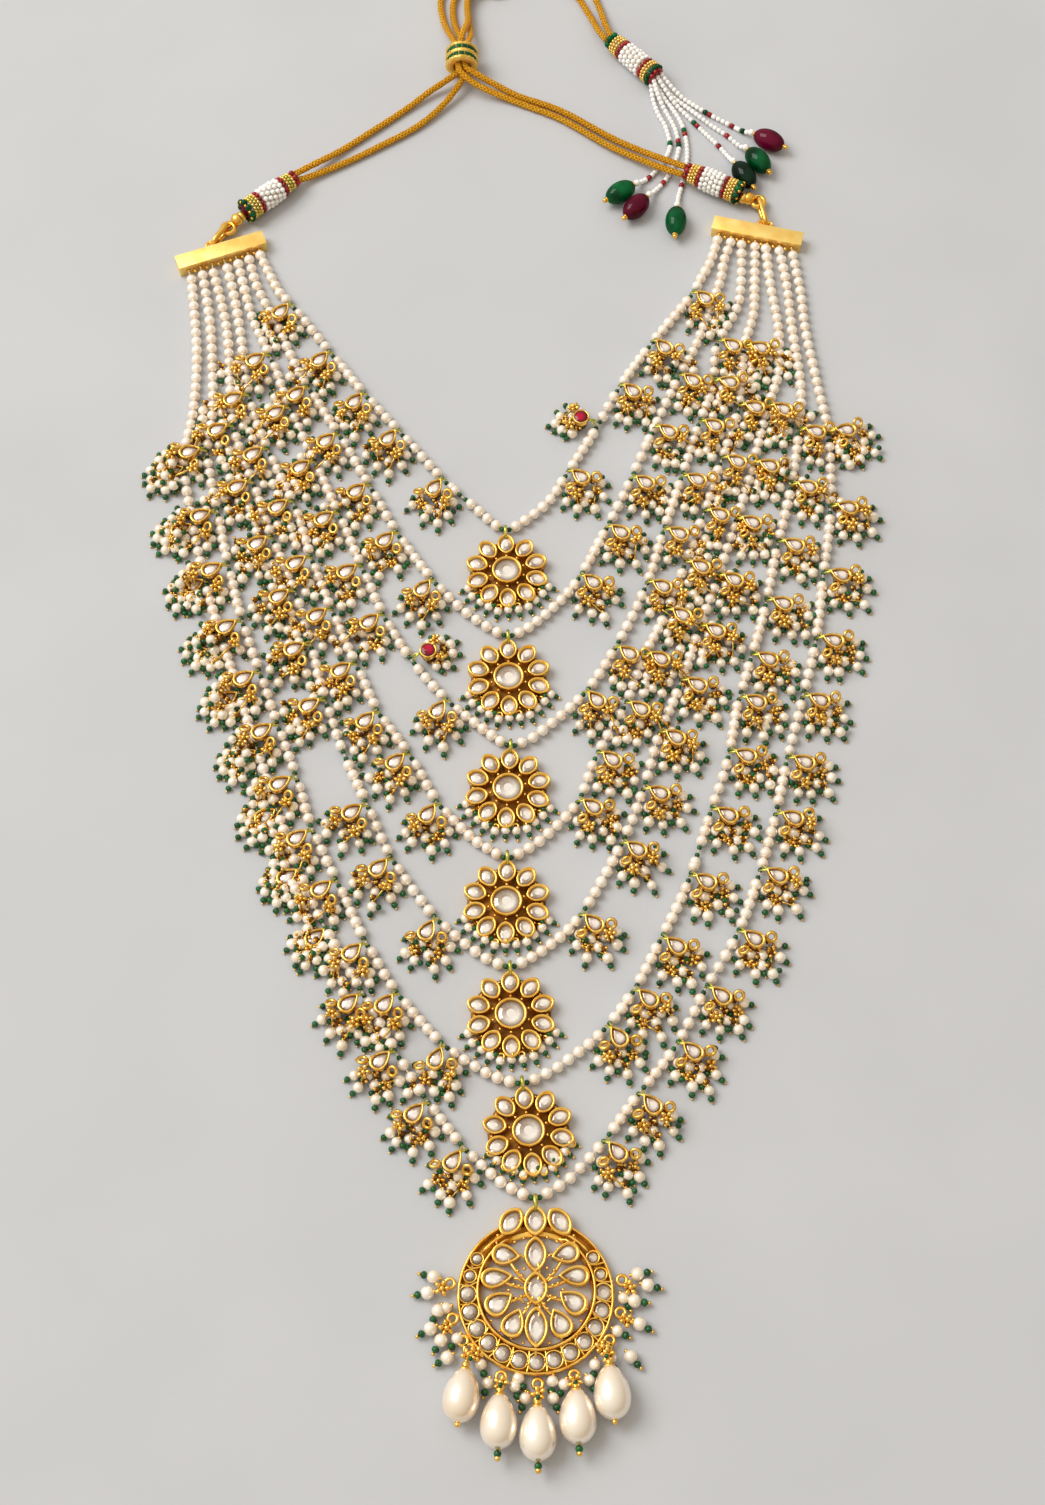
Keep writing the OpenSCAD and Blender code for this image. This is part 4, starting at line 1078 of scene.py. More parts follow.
def mark_pin(i, rosettes, marks):
    """Adds the marks of one pin, and gives the wire that ties it to its nearest rosette."""
    spot, green = pearl_spots[i], green_spots[i]
    way = green - spot
    way /= np.linalg.norm(way)
    across = np.array([-way[1], way[0], 0.2])
    size = 1.12 + 0.22 * ((i * 7919) % 100) / 100
    marks["small_pearl"].append((spot, (37 * i % 360, 0, 71 * i % 360), size))
    marks["green"].append((green, lying(way), 1.08))
    marks["pin"].append((low_at(green + way * 1.25, 0.5), 0, 0.8))
    if i % 4 == 0:
        marks["green"].append((spot + across * 2.5, lying(across), 1.0))
    marks["grain"].append((spot - way * 1.5 * size, 0, 1.4))
    aside = np.array([-way[1], way[0], 0.0]) * (0.8 if i % 2 else -0.8)
    for off, grain in ((1.2, 1.7), (2.3, 1.5))[:1 + i % 2]:
        marks["grain"].append((low_at(spot - way * (1.5 * size + off) + aside, 1.0, 0.5), 0, grain))
        aside = -aside
    marks["wrap"].append((low_at(spot - way * (1.5 * size + 1.5), 1.2, -0.6), 0, 2.1))
    near = min((rosette_spots[j] for j in rosettes), key=lambda r: np.linalg.norm(r - spot))
    return tube([near, spot - way * 1.4], 0.3, 4)


# %% Make the charms
GILDED = ("setting", "red_setting", "v_bail", "rosette", "loop", "grain", "pin")
for k in range(7):
    marks = {name: [] for name in (*GILDED, "stone", "red_stone", "heap", "wrap", "small_pearl",
                                   "green")}
    stems = []
    for c in charms:
        if c["string"] == k:
            mark_charm(c, marks)
            stems += [mark_pin(i, c["rosettes"], marks) for i in c["pins"]]
    name = f"charms_{k + 1}"
    gilded = [copies("g_" + n, n, marks[n], bail_gold if n == "v_bail" else charm_gold)
              for n in GILDED if marks[n]]
    # The heap under each setting and the wraps behind the pearls are painted shade in dark gold
    gilded += [copies("g_heap", "heap", marks["heap"], shade_gold),
               copies("g_wrap", "pin", marks["wrap"], shade_gold),
               part("stems", together(stems), charm_gold)]
    finished(joined(name + "_gold", gilded), "charm_gold", name)
    stones = [copies("s_" + n, shape, marks[n], stuff)
              for n, shape, stuff in (("stone", "setting_stone", charm_stone),
                                      ("red_stone", "red_stone", ruby)) if marks[n]]
    finished(joined(name + "_stones", stones), "clear_stone")
    finished(copies(name + "_pearls", "small_pearl", marks["small_pearl"], fringe_pearl),
             "fringe_pearl")
    finished(copies(name + "_green_beads", "green", marks["green"], green_bead), "emerald_glass")
print("charm triangles:", count_of("charms"))

# %% [markdown]
# ## The flower pendants
#
# Below each of the first six strings hangs a round flower: a heart cup, ten leaf cups round it, and
# a fringe of small pearls along its lower side. All ten petals are one pattern. Between them the
# metal lies deep in shade, so a plate of dark gold stands under the cups as painted shade, and
# grains of gold sit where the petals' tips meet the heart.

# %% Patterns of the flowers
PETAL_AT = 10.8
BASE = [(8.6, 0), (9.3, 0.3), (9.3, 1.2), (9.0, 1.5)]
RIM = [(12.6, 0), (12.9, 0.2), (12.9, 0.7), (12.6, 1.0), (8.4, 1.2), (8.0, 0.9), (8.0, 0.2),
       (8.3, 0)]
FRINGE_REACH = [17.6, 17.6, 17.6, 17.2, 17.6, 15.6]
bail_line = [(0, 13.6, 3.2), (0, 14.8, 4.3), (0, 16.2, 4.75), (0, 17.5, 4.1), (0, 17.9, 2.6),
             (0, 17.4, 1.2)]


def local_marks(middle, turn, rows):
    """Marks given in a pendant's own frame, turned and moved to their place."""
    marks = []
    for (x, y, z), spin, size in rows:
        spot = np.array(middle) + polar(turn, x) + polar(turn + 90, y)
        spin = (spin if np.ndim(spin) else (0, 0, spin)) + np.array([0, 0, turn])
        marks.append(((*spot, z), spin, size))
    return marks


def fringe_marks(marks, reach):
    """Adds a fringe: loops, pearls, green beads and gold heads, and a green bead between some."""
    for i in range(11):
        a = -158 + 13.6 * i
        off = (0.0, 0.5, -0.3)[i % 3]
        inner, small, tip, head = (polar(a, r + off)
                                   for r in (13.6, reach - 2.7, reach - 0.7, reach + 0.5))
        marks["loop"].append(((*inner, 2.2), (70 * (i % 2), 0, a), 0.85))
        marks["small_pearl"].append(((*small, 1.6 + 0.5 * (i % 2)), (0, 0, 47 * i), 1.04))
        marks["green"].append(((*tip, 1.1), lying(np.array([*polar(a), 0])), 0.95))
        marks["pin"].append(((*head, 0.7), 0, 1.0))
        if i % 2:
            marks["green"].append(((*polar(a + 6.8, reach - 3.6), 2.6),
                                   lying(np.array([*polar(a + 40), 0.3])), 0.9))


# %% Make the flowers
for k in range(6):
    middle, turn = flower_middles[k], bails[k][2]
    marks = {name: [] for name in ("petal", "heart", "big_grain", "loop", "pin", "small_pearl",
                                   "green")}
    marks["heart"] = [((0, 0, 0), 0, 1.0)]
    marks["petal"] = [((*polar(36 * i + 90, PETAL_AT), 0), 36 * i + 180, 1.0) for i in range(10)]
    marks["big_grain"] = [((*polar(36 * i + a, r), z), 0, size) for a, r, z, size in
                          ((90, 6.05, 3.4, 0.9), (108, 11.6, 2.2, 0.85)) for i in range(10)]
    fringe_marks(marks, FRINGE_REACH[k])
    marks = {n: local_marks(middle, turn, rows) for n, rows in marks.items()}
    gilded = [copies("g_" + n, n, marks[n], gold)
              for n in ("petal", "heart", "big_grain", "loop", "pin")]
    # The plate under the cups is painted shade between the petals
    base = together([lathe(BASE, 40), lathe(RIM, 60, True)])
    gilded += [part("base", turned(base, turn, (*middle, 0)), shade_gold),
               part("bail", turned(tube(bail_line, 0.62, 8), turn, (*middle, 0)), bail_gold)]
    name = f"flower_{k + 1}"
    finished(joined(name + "_gold", gilded), "gold", name)
    stones = [copies("s_" + n, n + "_stone", marks[n], clear_stone) for n in ("petal", "heart")]
    finished(joined(name + "_stones", stones), "clear_stone", f"flower_stones_{k + 1}")
    finished(copies(name + "_pearls", "small_pearl", marks["small_pearl"], fringe_pearl),
             "fringe_pearl")
    finished(copies(name + "_green_beads", "green", marks["green"], green_bead), "emerald_glass")
print("flower triangles:", count_of("flower"))

# %% [markdown]
# ## The crescent pendant
#
# The pendant is a ring whose round window sits a little high, so that its band is widest below. The
# band is a tray between two rims, set with seventeen round stones that thin walls part. Eleven
# cups stand in the window on wires, and three leaves crown it. A band between two circles with
# different middles isn't a lathe's work, so its outline is worked out: each step round the ring
# goes from the outer circle to the inner one through the same short profile.

# %% The ring
PENDANT = (7, -218.8)
WINDOW = (0.2, 1.6)
OUTER_R, WINDOW_R = 24.0, 17.4
# Each cup: x, y, width, length, turn of its tip from +Y
window_cups = [
    (0, 12.6, 6.6, 10.6, 0), (-9, 12.4, 6.2, 8.6, -97), (9.2, 12.8, 6.2, 8.6, 105),
    (-11.8, 5.4, 6, 9.6, -84), (11.8, 6, 6, 9.2, 90), (-11, -2.2, 6.8, 9.2, -56),
    (11.2, -1.8, 6.8, 9.2, 54), (-6.6, -8.2, 6.6, 9, -24), (7.4, -8.2, 6.6, 9, 26),
    (0.2, -9.6, 6.8, 12, 0), (0.1, 2.2, 7, 9.8, 0)]
crown_cups = [(-7.5, 22.6, 7, 10, -36), (0, 22.9, 7.2, 9.6, 0), (7.5, 22.6, 7, 10, 36)]
# From the outer edge inwards: 0 for the outer and 1 for the inner edge, distance from it, height
band = [(0, 0.5, 0), (0, 0.05, 0.5), (0, 0, 2.6), (0, 0.12, 3.3), (0, 0.5, 3.7), (0, 0.85, 3.4),
        (0, 0.98, 2.6), (0, 1.0, 1.6), (1, 1.1, 1.6), (1, 1.05, 2.8), (1, 0.9, 3.6), (1, 0.5, 3.95),
        (1, 0.1, 3.6), (1, 0, 2.6), (1, 0.0, 1.9), (1, -0.5, 1.7), (1, -0.6, 1.2), (1, -0.4, 0.6),
        (1, 0.5, 0)]
# The inner rim is kept low where the crown stands: from turn to turn, and how low
CROWN_FROM, CROWN_TO, UNDER_CROWN = 60, 120, 1.7
steps_round = np.arange(96) * 3.75


def in_window(turn, reach):
    return np.array(WINDOW) + polar(turn, reach)


def band_spot(turn, edge, inset, z):
    """A point of the band's profile, at one turn round the ring."""
    outer, inner = polar(turn, OUTER_R), in_window(turn, WINDOW_R)
    way = (inner - outer) / np.linalg.norm(inner - outer)
    if edge == 1 and CROWN_FROM < turn < CROWN_TO:
        z = min(z, UNDER_CROWN)
    return (*(inner - way * inset if edge else outer + way * inset), z)


parts = [skin([[band_spot(turn, *step) for turn in steps_round] for step in band], True)]
print("band is", round(OUTER_R - WINDOW_R + WINDOW[1], 1), "mm wide below")

# %% Cups of the pendant and the wires that hold them
def pointed(x):
    """The cups on the middle line have two tips."""
    return 0.45 * (x * x < 1)


for x, y, w, l, turn in window_cups:
    parts.append(turned(cup(w + 0.5, l + 0.6, 4.0, 0.9, 24, pointed(x)), turn, (x, y, 0)))
for x, y, w, l, turn in crown_cups:
    parts.append(turned(cup(w, l, 4.4, 0.95, 24, 0.3), turn, (x, y, 0)))
centre = np.array([0.1, 2.2])
for i, (x, y, *_) in enumerate(window_cups[:-1]):
    way = np.array([x, y]) - centre
    side = np.array([-way[1], way[0]]) / np.linalg.norm(way) * (1 if i % 2 else -1)
    bend = centre + way * 0.5 + side * 1.1
    parts.append(tube(smooth_line([(*centre, 2.6), (*bend, 2.8), (x, y, 2.6)], 6), 0.55, 7))
    parts += [ball(0.65, 7, 4, at=(*(centre + way * share + side * 0.7), 3.1))
              for share in (0.42, 0.56)]

# %% Rings, walls and grains of the pendant
# The crescent's stones from horn to horn: turn, distance from the middle, size
crescent = [(a, 20.7 + 0.8 * math.sin(math.radians(a)), 3.4 if i < 2 or i > 14 else 4.9)
            for i, a in enumerate([148 + 15.35 * i for i in range(17)])]
for a, r, size in crescent:
    parts.append(wire_ring(size / 2 + 0.3, 0.3, 16, 6, (*polar(a, r), 2.7)))
    if a < crescent[-1][0]:
        wall = [in_window(a + 7.7, WINDOW_R + 0.6), polar(a + 7.7 + 1.2, r),
                polar(a + 7.7, OUTER_R - 0.6)]
        parts.append(tube(smooth_line(upright(wall, 2.6), 4), 0.36, 6))
parts += [ball(0.5, 7, 4, at=(*in_window(a, 16.4), 2.6)) for a in np.arange(200, 341, 14)]
parts += [ball(0.6, 8, 5, at=(x, y, 2.9)) for x, y in (
    (-3.6, 17.6), (3.6, 17.8), (-11.6, 18.4), (11.8, 18.4), (-3.4, 8.2), (3.6, 8.4), (0, 7.2),
    (-6.4, 16.4), (6.6, 16.6), (0, -4), (-8.2, 1.6), (8.4, 1.8))]
parts += [tube([(*polar(c, 21.0), 3.0) for c in np.linspace(a, b, 9)], 0.5, 7)
          for a, b in ((102, 140), (78, 40))]
parts += [tube([(x * 0.75, 12.4, 2.4), (x, 16, 2.6), (x * 1.02, 18, 2.8)], 0.45, 6)
          for x in (-12, 12)]
parts.append(tube([(0, -12, 2.6), (0, -18.5, 2.8)], 0.5, 6))
parts += [tube(smooth_line([(x - s * 1.6, y - 1.2, 2.4), (x, y, 2.9),
                            (x + s * 1.8, y + 0.4, 2.4)], 4), 0.4, 6)
          for x, y, s in ((-4.6, 12.4, -1), (4.6, 12.6, 1), (-5.2, 5, -1), (5.2, 5.4, 1),
                          (-5, -1, -1), (5, -0.6, 1))]


def in_place(shape):
    return turned(shape, at=(*PENDANT, 0))


frame_gold = part("frame_gold", in_place(together(parts)), gold)

# %% Fringe of the pendant
# Pearls of the fringe with the way to their green beads, in the pendant's own frame
fringe_pearls = [
    (-31.2, 5.8, 166), (-33, 1, 191), (-27.2, -3.6, 205), (-31.9, -9.9, 209), (-28.7, -13.4, 239),
    (-23.8, -12.8, 234), (-26.7, -18.5, 211), (-16.5, -20.5, 288), (-14.4, -26.1, 251),
    (-6.3, -27, 284), (-3.1, -30.5, 247), (5.2, -30.5, 291), (8.5, -26.4, 246), (16, -25.2, 300),
    (17.8, -20.5, 262), (31.2, 6.7, 11), (34.2, 3.3, 347), (30.1, -1.5, 353), (31.5, -8.4, 331),
    (24.8, -10.5, 333), (28.6, -18.2, 312), (-5.2, -24.6, 300), (5, -25.5, 262), (26.8, -0.6, 300),
    (-29.6, -4.4, 240), (22.6, -18.6, 285)]
fringe_rosettes = [(-28.5, 2.4), (-27.1, -9.6), (-18, -17.6), (28.7, 2.4), (27.6, -7.5),
                   (20, -15.8), (-20.2, -18.2), (-10.4, -26.4), (0.8, -29.6), (11.9, -25.9),
                   (21.8, -18)]
fringe_loops = [(-26.2, 3.8, 0), (-25.2, -6.9, 20), (-22, -13.6, 40), (26.4, 4.8, 0),
                (25.8, -5.1, -20), (22.3, -13.4, -40), (-20.2, -16.1, 50), (-10.4, -24.2, 90),
                (0.6, -26.4, 90), (11.6, -23.8, 90), (21.3, -15.4, -50)]
over_drops = [(-19.6, -19.6), (-10.6, -27.4), (0.6, -30.9), (11.8, -26.6), (21.2, -18.9)]
marks = {name: [] for name in ("small_pearl", "green", "pin", "grain")}
for x, y, turn in fringe_pearls:
    big = 1.46 if math.hypot(x, y) > 29.5 and y > -20 else 1.26
    z = 1.5 * big + 0.1
    spot, step = np.array([x, y]), polar(turn, 1)
    marks["small_pearl"].append(((x, y, z), (0, 0, turn), big))
    marks["green"].append(((*(spot + step * (1.5 * big + 0.9)), z - 0.4),
                           lying(np.array([*step, -0.1])), 1.2))
    marks["pin"].append(((*(spot + step * (1.5 * big + 2.4)), z - 0.7), 0, 1.2))
    marks["grain"].append(((*(spot - step * 1.5 * big), z + 0.3), 0, 1.6))
marks["green"] += [((x, y, 6.6), 0, 0.75) for x, y in over_drops]
marks["loop"] = [((x, y, 2.4), (0, 0, a), 1.25) for x, y, a in fringe_loops]
marks["rosette"] = [((x, y, 2.6 if y > -10 else 3.4), (20, 0, 31 * i), 1.1)
                    for i, (x, y) in enumerate(fringe_rosettes)]
marks = {n: local_marks(PENDANT, 0, rows) for n, rows in marks.items()}
finished(copies("pendant_fringe_pearls", "small_pearl", marks["small_pearl"], fringe_pearl),
         "fringe_pearl", "pendant_fringe")
finished(copies("pendant_fringe_green_beads", "green", marks["green"], green_bead), "emerald_glass")
finished(joined("pendant_fringe_gold", [copies("g_" + n, n, marks[n], gold)
                                        for n in ("pin", "grain", "loop", "rosette")]), "gold")

# %% Drops
drops = [(-21.1, -22, -7.6), (-10.8, -29.5, -1.9), (0.4, -33, 0.7), (12, -28.1, 2.5),
         (22, -21.1, 4.8)]
DROP_R, DROP_L = 5.65, 16.4
half_turn = np.radians(np.linspace(0, 180, 25))[1:-1]
egg = lathe([(DROP_R * math.sin(t) * (1 - 0.2 * math.cos(t)) / 1.02,
              DROP_L / 2 * (1 - math.cos(t))) for t in half_turn], 36)
cap = lathe([(0.5, -1.5), (1.1, -1.35), (1.35, -0.8), (0.9, -0.35), (1.3, 0), (1.7, 0.2),
             (1.85, 0.6), (1.6, 0.7), (1.2, 0.6)], 20)
foot_cap = lathe([(0.4, -0.5), (0.9, -0.3), (0.8, 0.1)], 12)
for i, (x, y, tilt) in enumerate(drops):
    top = np.array([PENDANT[0] + x, PENDANT[1] + y, DROP_R])
    way = np.array([*polar(tilt - 90), 0])
    foot = top + way * DROP_L
    with_green = i not in (0, 4)
    name = f"pendant_drop_{i + 1}"
    finished(part(name + "_pearl", laid(egg, top, way), drop_pearl), "drop_pearl", name)
    bits = [laid(cap, top, way), ball(0.95, 12, 8, at=foot + way * (2.6 if with_green else 0.5)),
            laid(tube([(0, 0, -1.0), (0, 0, -2.6)], 0.4, 6), top, way), laid(foot_cap, foot, way)]
    finished(part(name + "_cap", together(bits), gold), "gold")
    if with_green:
        finished(part(name + "_green_bead", ball(1.2, 14, 9, at=foot + way * 1.3), green_bead),
                 "emerald_glass")

# %% Bail, tray and stones of the pendant
bail = part("bail", in_place(tube(
    [(0, 26.2, 3.4), (0, 27.6, 4.6), (0, 29, 4.9), (0, 30.6, 4.2), (0, 31.1, 2.6), (0, 30.4, 1.2)],
    0.7, 8)), bail_gold)
outer = [polar(a, OUTER_R - 0.97) for a in steps_round]
inner = [in_window(a, WINDOW_R + 0.97) for a in steps_round]
# The tray floor sits low between the rims, in painted shade
tray = part("tray", in_place(skin([upright(outer, 1.5), upright(outer, 1.72), upright(inner, 1.72),
                                   upright(inner, 1.5)], True)), tray_shade_gold)
finished(joined("pendant_frame_gold", [frame_gold, bail, tray]), "gold", "pendant_frame")
stones = [(stone_mesh("s", w - 1.5, l - 1.9, 3.4, 14, pointed(x)), x, y, turn, clear_stone)
          for x, y, w, l, turn in window_cups]
stones += [(stone_mesh("s", w - 2.0, l - 2.5, 3.8, 14, 0.3), x, y, turn, clear_stone)
           for x, y, w, l, turn in crown_cups]
stones += [(stone_mesh("s", size, None, 2.9, 12), *polar(a, r), a, band_stone)
           for a, r, size in crescent]
for mesh, x, y, turn, stuff in stones:
    points = np.array([v.co for v in mesh.vertices]) / MM
    points = turned((points, []), turn, (PENDANT[0] + x, PENDANT[1] + y, 0))[0] * MM
    mesh.vertices.foreach_set("co", points.astype(np.float32).ravel())
    mesh.materials.append(stuff)
finished(joined("pendant_stone_set", [as_object("s", mesh) for mesh, *_ in stones]), "clear_stone",
         "pendant_stones")
print("pendant triangles:", count_of("pendant"))

# %% [markdown]
# ## Barrels wound with seed beads
#
# Three barrels hide the knots of the cords. A maker winds strings of seed beads round a core, row
# beside row, and changes the colour from row to row. So each barrel here is a word, with one
# letter for each row from the cord's end: the rows are closed loops, and the tree that threads the
# pearls threads them as well.

# %% Letters of the rows
# Each letter's finish, and the half width of its beads
row_kinds = {"W": (white_seed, 1.02), "G": (row_gold, 0.66), "Y": (bail_gold, 0.66),
             "R": (red_seed, 0.9), "E": (emerald_glass, 1.0), "r": (red_seed, 1.2),
             "e": (emerald_glass, 1.35)}
# Each barrel: its cord end, its far end, its rows, and how far each row stands out
barrels = {
    "barrel_left": ((-82.8, 203.4, 4.4), (-101.6, 186.6, 5.0), "rGYGRWWWWWRGYGe",
                    (3.5, 3.5, 3.6, 3.7, 4.1, 4.5, 4.7, 4.75, 4.75, 4.7, 4.5, 4.5, 4.5, 4.5, 4.95)),
    "barrel_right": ((64.6, 205.4, 5.9), (85.4, 195.4, 4.9), "rGGGRWWWWWRGGGe",
                     (3.6, 3.8, 4.0, 4.1, 4.2, 4.7, 4.8, 4.8, 4.8, 4.7, 4.5, 4.5, 4.5, 4.5, 4.85)),
    "barrel_tassel": ((37.2, 270.6, 4.3), (54.4, 251.6, 4.9), "eGGGRWWWWWRGGE",
                      (3.8, 3.9, 4.1, 4.2, 4.2, 4.5, 4.6, 4.7, 4.7, 4.7, 4.5, 4.6, 4.7, 4.85))}


def ring_line(middle, way, radius, spin):
    """A closed loop of points round a way in space."""
    loop, _ = laid((upright(round_loop(radius, 24), 0), []), middle, way, spin)
    return np.vstack([loop, loop[:1]])


# %% Wind the barrels
for name, (start, stop, word, stands_out) in barrels.items():
    start, stop = np.array(start), np.array(stop)
    run = np.linalg.norm(stop - start)
    way = (stop - start) / run
    halves = np.array([row_kinds[letter][1] for letter in word])
    centres = (np.cumsum(2 * halves) - halves) * run / (2 * halves.sum())
    rows = {letter: [] for letter in word}
    for i, letter in enumerate(word):
        radius = stands_out[i] - halves[i]
        rows[letter].append((ring_line(start + way * centres[i], way, radius, 11 * i),
                             round(math.pi * radius / halves[i])))
    if name == "barrel_tassel":
        rows["r"] = [(ring_line(stop + way * 0.1, way, 2.6, 5), 8)]
    wound = []
    for letter, loops in rows.items():
        stuff, half = row_kinds[letter]
        wound.append(threaded_beads("row_" + letter, "row_bead", loops, stuff, 5, 0.96 * half,
                                    1.04 * half))
    core = lathe([(1.2, 0.2), (1.9, 0.4), (2.1, 0.22 * run), (3.1, 0.36 * run), (3.3, 0.9 * run),
                  (2.6, run - 0.5), (1.2, run - 0.3)], 24)
    plugs = [laid(lathe([(1.0, -0.1), (reach, 0), (reach, 0.5), (1.0, 0.6)], 20), at, way)
             for at, reach in ((start + way * 0.6, 2.3), (stop - way * 0.8, 3.6))]
    wound += [part("core", laid(core, start, way), silk),
              part("plugs", together(plugs), maroon_glass)]
    if word.endswith("e"):
        dots = [ball(0.6, 7, 4, at=ring_line(start + way * (centres[-1] + 0.75), way, 4.05,
                                             40 * k + 20)[0]) for k in range(9)]
        wound.append(part("dots", together(dots), gold))
    finished(joined(name + "_wound", wound), "barrel_beads", name)
    print(name, "has", len(word), "rows")

# %% [markdown]
# ## Gold balls, eyes and slider
#
# Beyond each barrel a gold ball carries a flat eye, for the link that comes from the bar. The
# slider is a turned gold bead with two bands of green enamel, in pads that stand a little apart.
# Its bore is open, because the cords run through it.

# %% Balls and eyes
# On each side: the middle of the ball, the middle of the eye
eyes = {"left": ((-104.2, 184.3, 3.6), (-107.4, 181.8)), "right": ((88.4, 194.1, 3.6), (92, 194.2))}
EYE_Z = 2.62
for side, (ball_at, eye) in eyes.items():
    x, y, z = ball_at
    turn = math.degrees(math.atan2(eye[1] - y, eye[0] - x))
    neck = [(*(np.array([x, y]) + polar(turn, r)), height)
            for r, height in ((1.2, 3.2), (1.9, 2.8), (2.5, EYE_Z))]
    lobes = [ball(2.5, 20, 12, 0.96, ball_at)]
    lobes += [ball(0.42, 7, 4, at=(*(np.array([x, y]) + polar(45 * k, 1.9)), z)) for k in range(8)]
    lobes += [wire_ring(2.3, 1.0, 24, 10, (eye[0], eye[1] - 0.9, EYE_Z)),
              ball(2.1, 16, 9, at=(*(np.array([x, y]) - polar(turn, 2.0)), z + 0.2)),
              tube(neck, [0.9, 0.7, 0.6], 8)]
    name = "barrel_eye_" + side
    finished(part(name + "_gold", together(lobes), gold), "gold", name)

# %% Slider
SLIDER_AT = (-20.5, 254.8, 6.3)
GRAIN_ROWS = ((0.75, 6.3), (4.1, 6.35), (7.45, 6.3))
profile = [(3.2, 0.4), (3.5, 0.0), (5.5, 0.0), (6.0, 0.3), (6.25, 0.8), (6.0, 1.25), (5.6, 1.4),
           (5.6, 3.2), (5.95, 3.4), (6.25, 3.8), (6.25, 4.4), (5.95, 4.8), (5.6, 5.0), (5.6, 6.8),
           (6.0, 6.95), (6.25, 7.4), (6.0, 7.9), (5.5, 8.2), (3.5, 8.2), (3.2, 7.8)]
turned_gold = [laid(lathe(profile, 48, True), SLIDER_AT, (0, 1, 0))]
for a in np.radians(15 * np.arange(24)):
    turned_gold += [ball(0.34, 6, 4, at=np.array(SLIDER_AT) + (
        reach * math.cos(a), y, reach * math.sin(a) * 0.985)) for y, reach in GRAIN_ROWS]
corners = np.array([(-0.98, -0.8), (0.98, -0.8), (0.98, 0.8), (-0.98, 0.8)])
pad, pad_faces = skin([upright(corners * s, z) for s, z in ((0.98, 5.4), (1.0, 5.85), (0.8, 5.98))])
# Bent round the bead, a pad is seen from its other side, so its faces are reversed
pad_faces = [face[::-1] for face in pad_faces]
enamel = []
for k in range(16):
    for middle, offset in ((2.3, 0), (5.9, 11.25)):
        a = np.radians(22.5 * k + offset)
        bent = np.column_stack([pad[:, 2] * np.cos(a) - pad[:, 0] * np.sin(a), pad[:, 1] + middle,
                                pad[:, 2] * np.sin(a) + pad[:, 0] * np.cos(a)])
        enamel.append((bent + np.array(SLIDER_AT), pad_faces))
slider_bead = finished(joined("slider_bead", [
    part("slider_body", together(turned_gold), slider_gold),
    part("slider_enamel", together(enamel), emerald_glass)]), "slider_gold", "slider")

# %% [markdown]
# ## Bars and links
#
# The bars are right as solids, but a cast bar has no knife edges. So each is copied, its loose
# triangles are merged, flat areas are made one face again, and a small bevel rounds every sharp
# edge. The links are redrawn as a bent wire, from the eye to the ring on the bar.

# %% Bars
def softened(name, node, width):
    """A copy of a solid part with its triangles merged and its sharp edges rounded."""
    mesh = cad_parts[node].data.copy()
    work = bmesh.new()
    work.from_mesh(mesh)
    bmesh.ops.remove_doubles(work, verts=work.verts, dist=1e-6)
    bmesh.ops.dissolve_limit(work, angle_limit=math.radians(1), verts=work.verts, edges=work.edges)
    sharp = [e for e in work.edges
             if len(e.link_faces) == 2 and e.calc_face_angle() > math.radians(50)]
    bmesh.ops.bevel(work, geom=sharp, offset=width * MM, segments=3, affect="EDGES",
                    clamp_overlap=True, profile=0.5)
    bmesh.ops.triangulate(work, faces=[f for f in work.faces if len(f.verts) > 4])
    work.to_mesh(mesh)
    work.free()
    mesh.materials.clear()
    mesh.materials.append(bar_gold)
    mesh.polygons.foreach_set("use_smooth", [True] * len(mesh.polygons))
    mesh.set_sharp_from_angle(angle=math.radians(32))
    return as_object(name, mesh)


for side in ("left", "right"):
    name = "end_bar_" + side
    finished(softened(name + "_soft", name, 0.35), "bar_gold", name)

# %% Links
LINK_Z, LINK_BEND = 2.95, 1.9
for bar, (side, (_, eye)) in zip(bars, eyes.items()):
    _, _, bar_turn, _, along = bar
    ring_at = on_bar(bar, along, 4.7)
    span = np.array(eye) - ring_at
    turn, reach = math.degrees(math.atan2(span[1], span[0])), np.linalg.norm(span)
    loop = [(s * (reach / 2 - 2.0 + LINK_BEND * math.cos(a)), 0, s * LINK_BEND * math.sin(a))
            for s in (-1, 1) for a in np.radians(np.arange(-75, 76, 15))]
    middle = (ring_at + np.array(eye)) / 2
    on_bar_rings = [wire_ring(1.25, 0.5, 16, 8, (
        *(ring_at + polar(bar_turn, a) - polar(bar_turn + 90, 0.2)), 3.2)) for a in (-1.5, 1.5)]
    wire = turned(tube(loop, 1.0, 10, True), turn, (*middle, LINK_Z))
    finished(part(f"link_{side}_wire", together([wire, *on_bar_rings]), gold), "gold",
             "link_" + side)

# %% [markdown]
# ## The tassel
#
# Six strings of white seed beads run from the third barrel, each with a few green and red beads
# among the white ones, and end in an oval glass bead on a gold pin. They lie over each other where
# they leave the barrel, so every route has its own height.

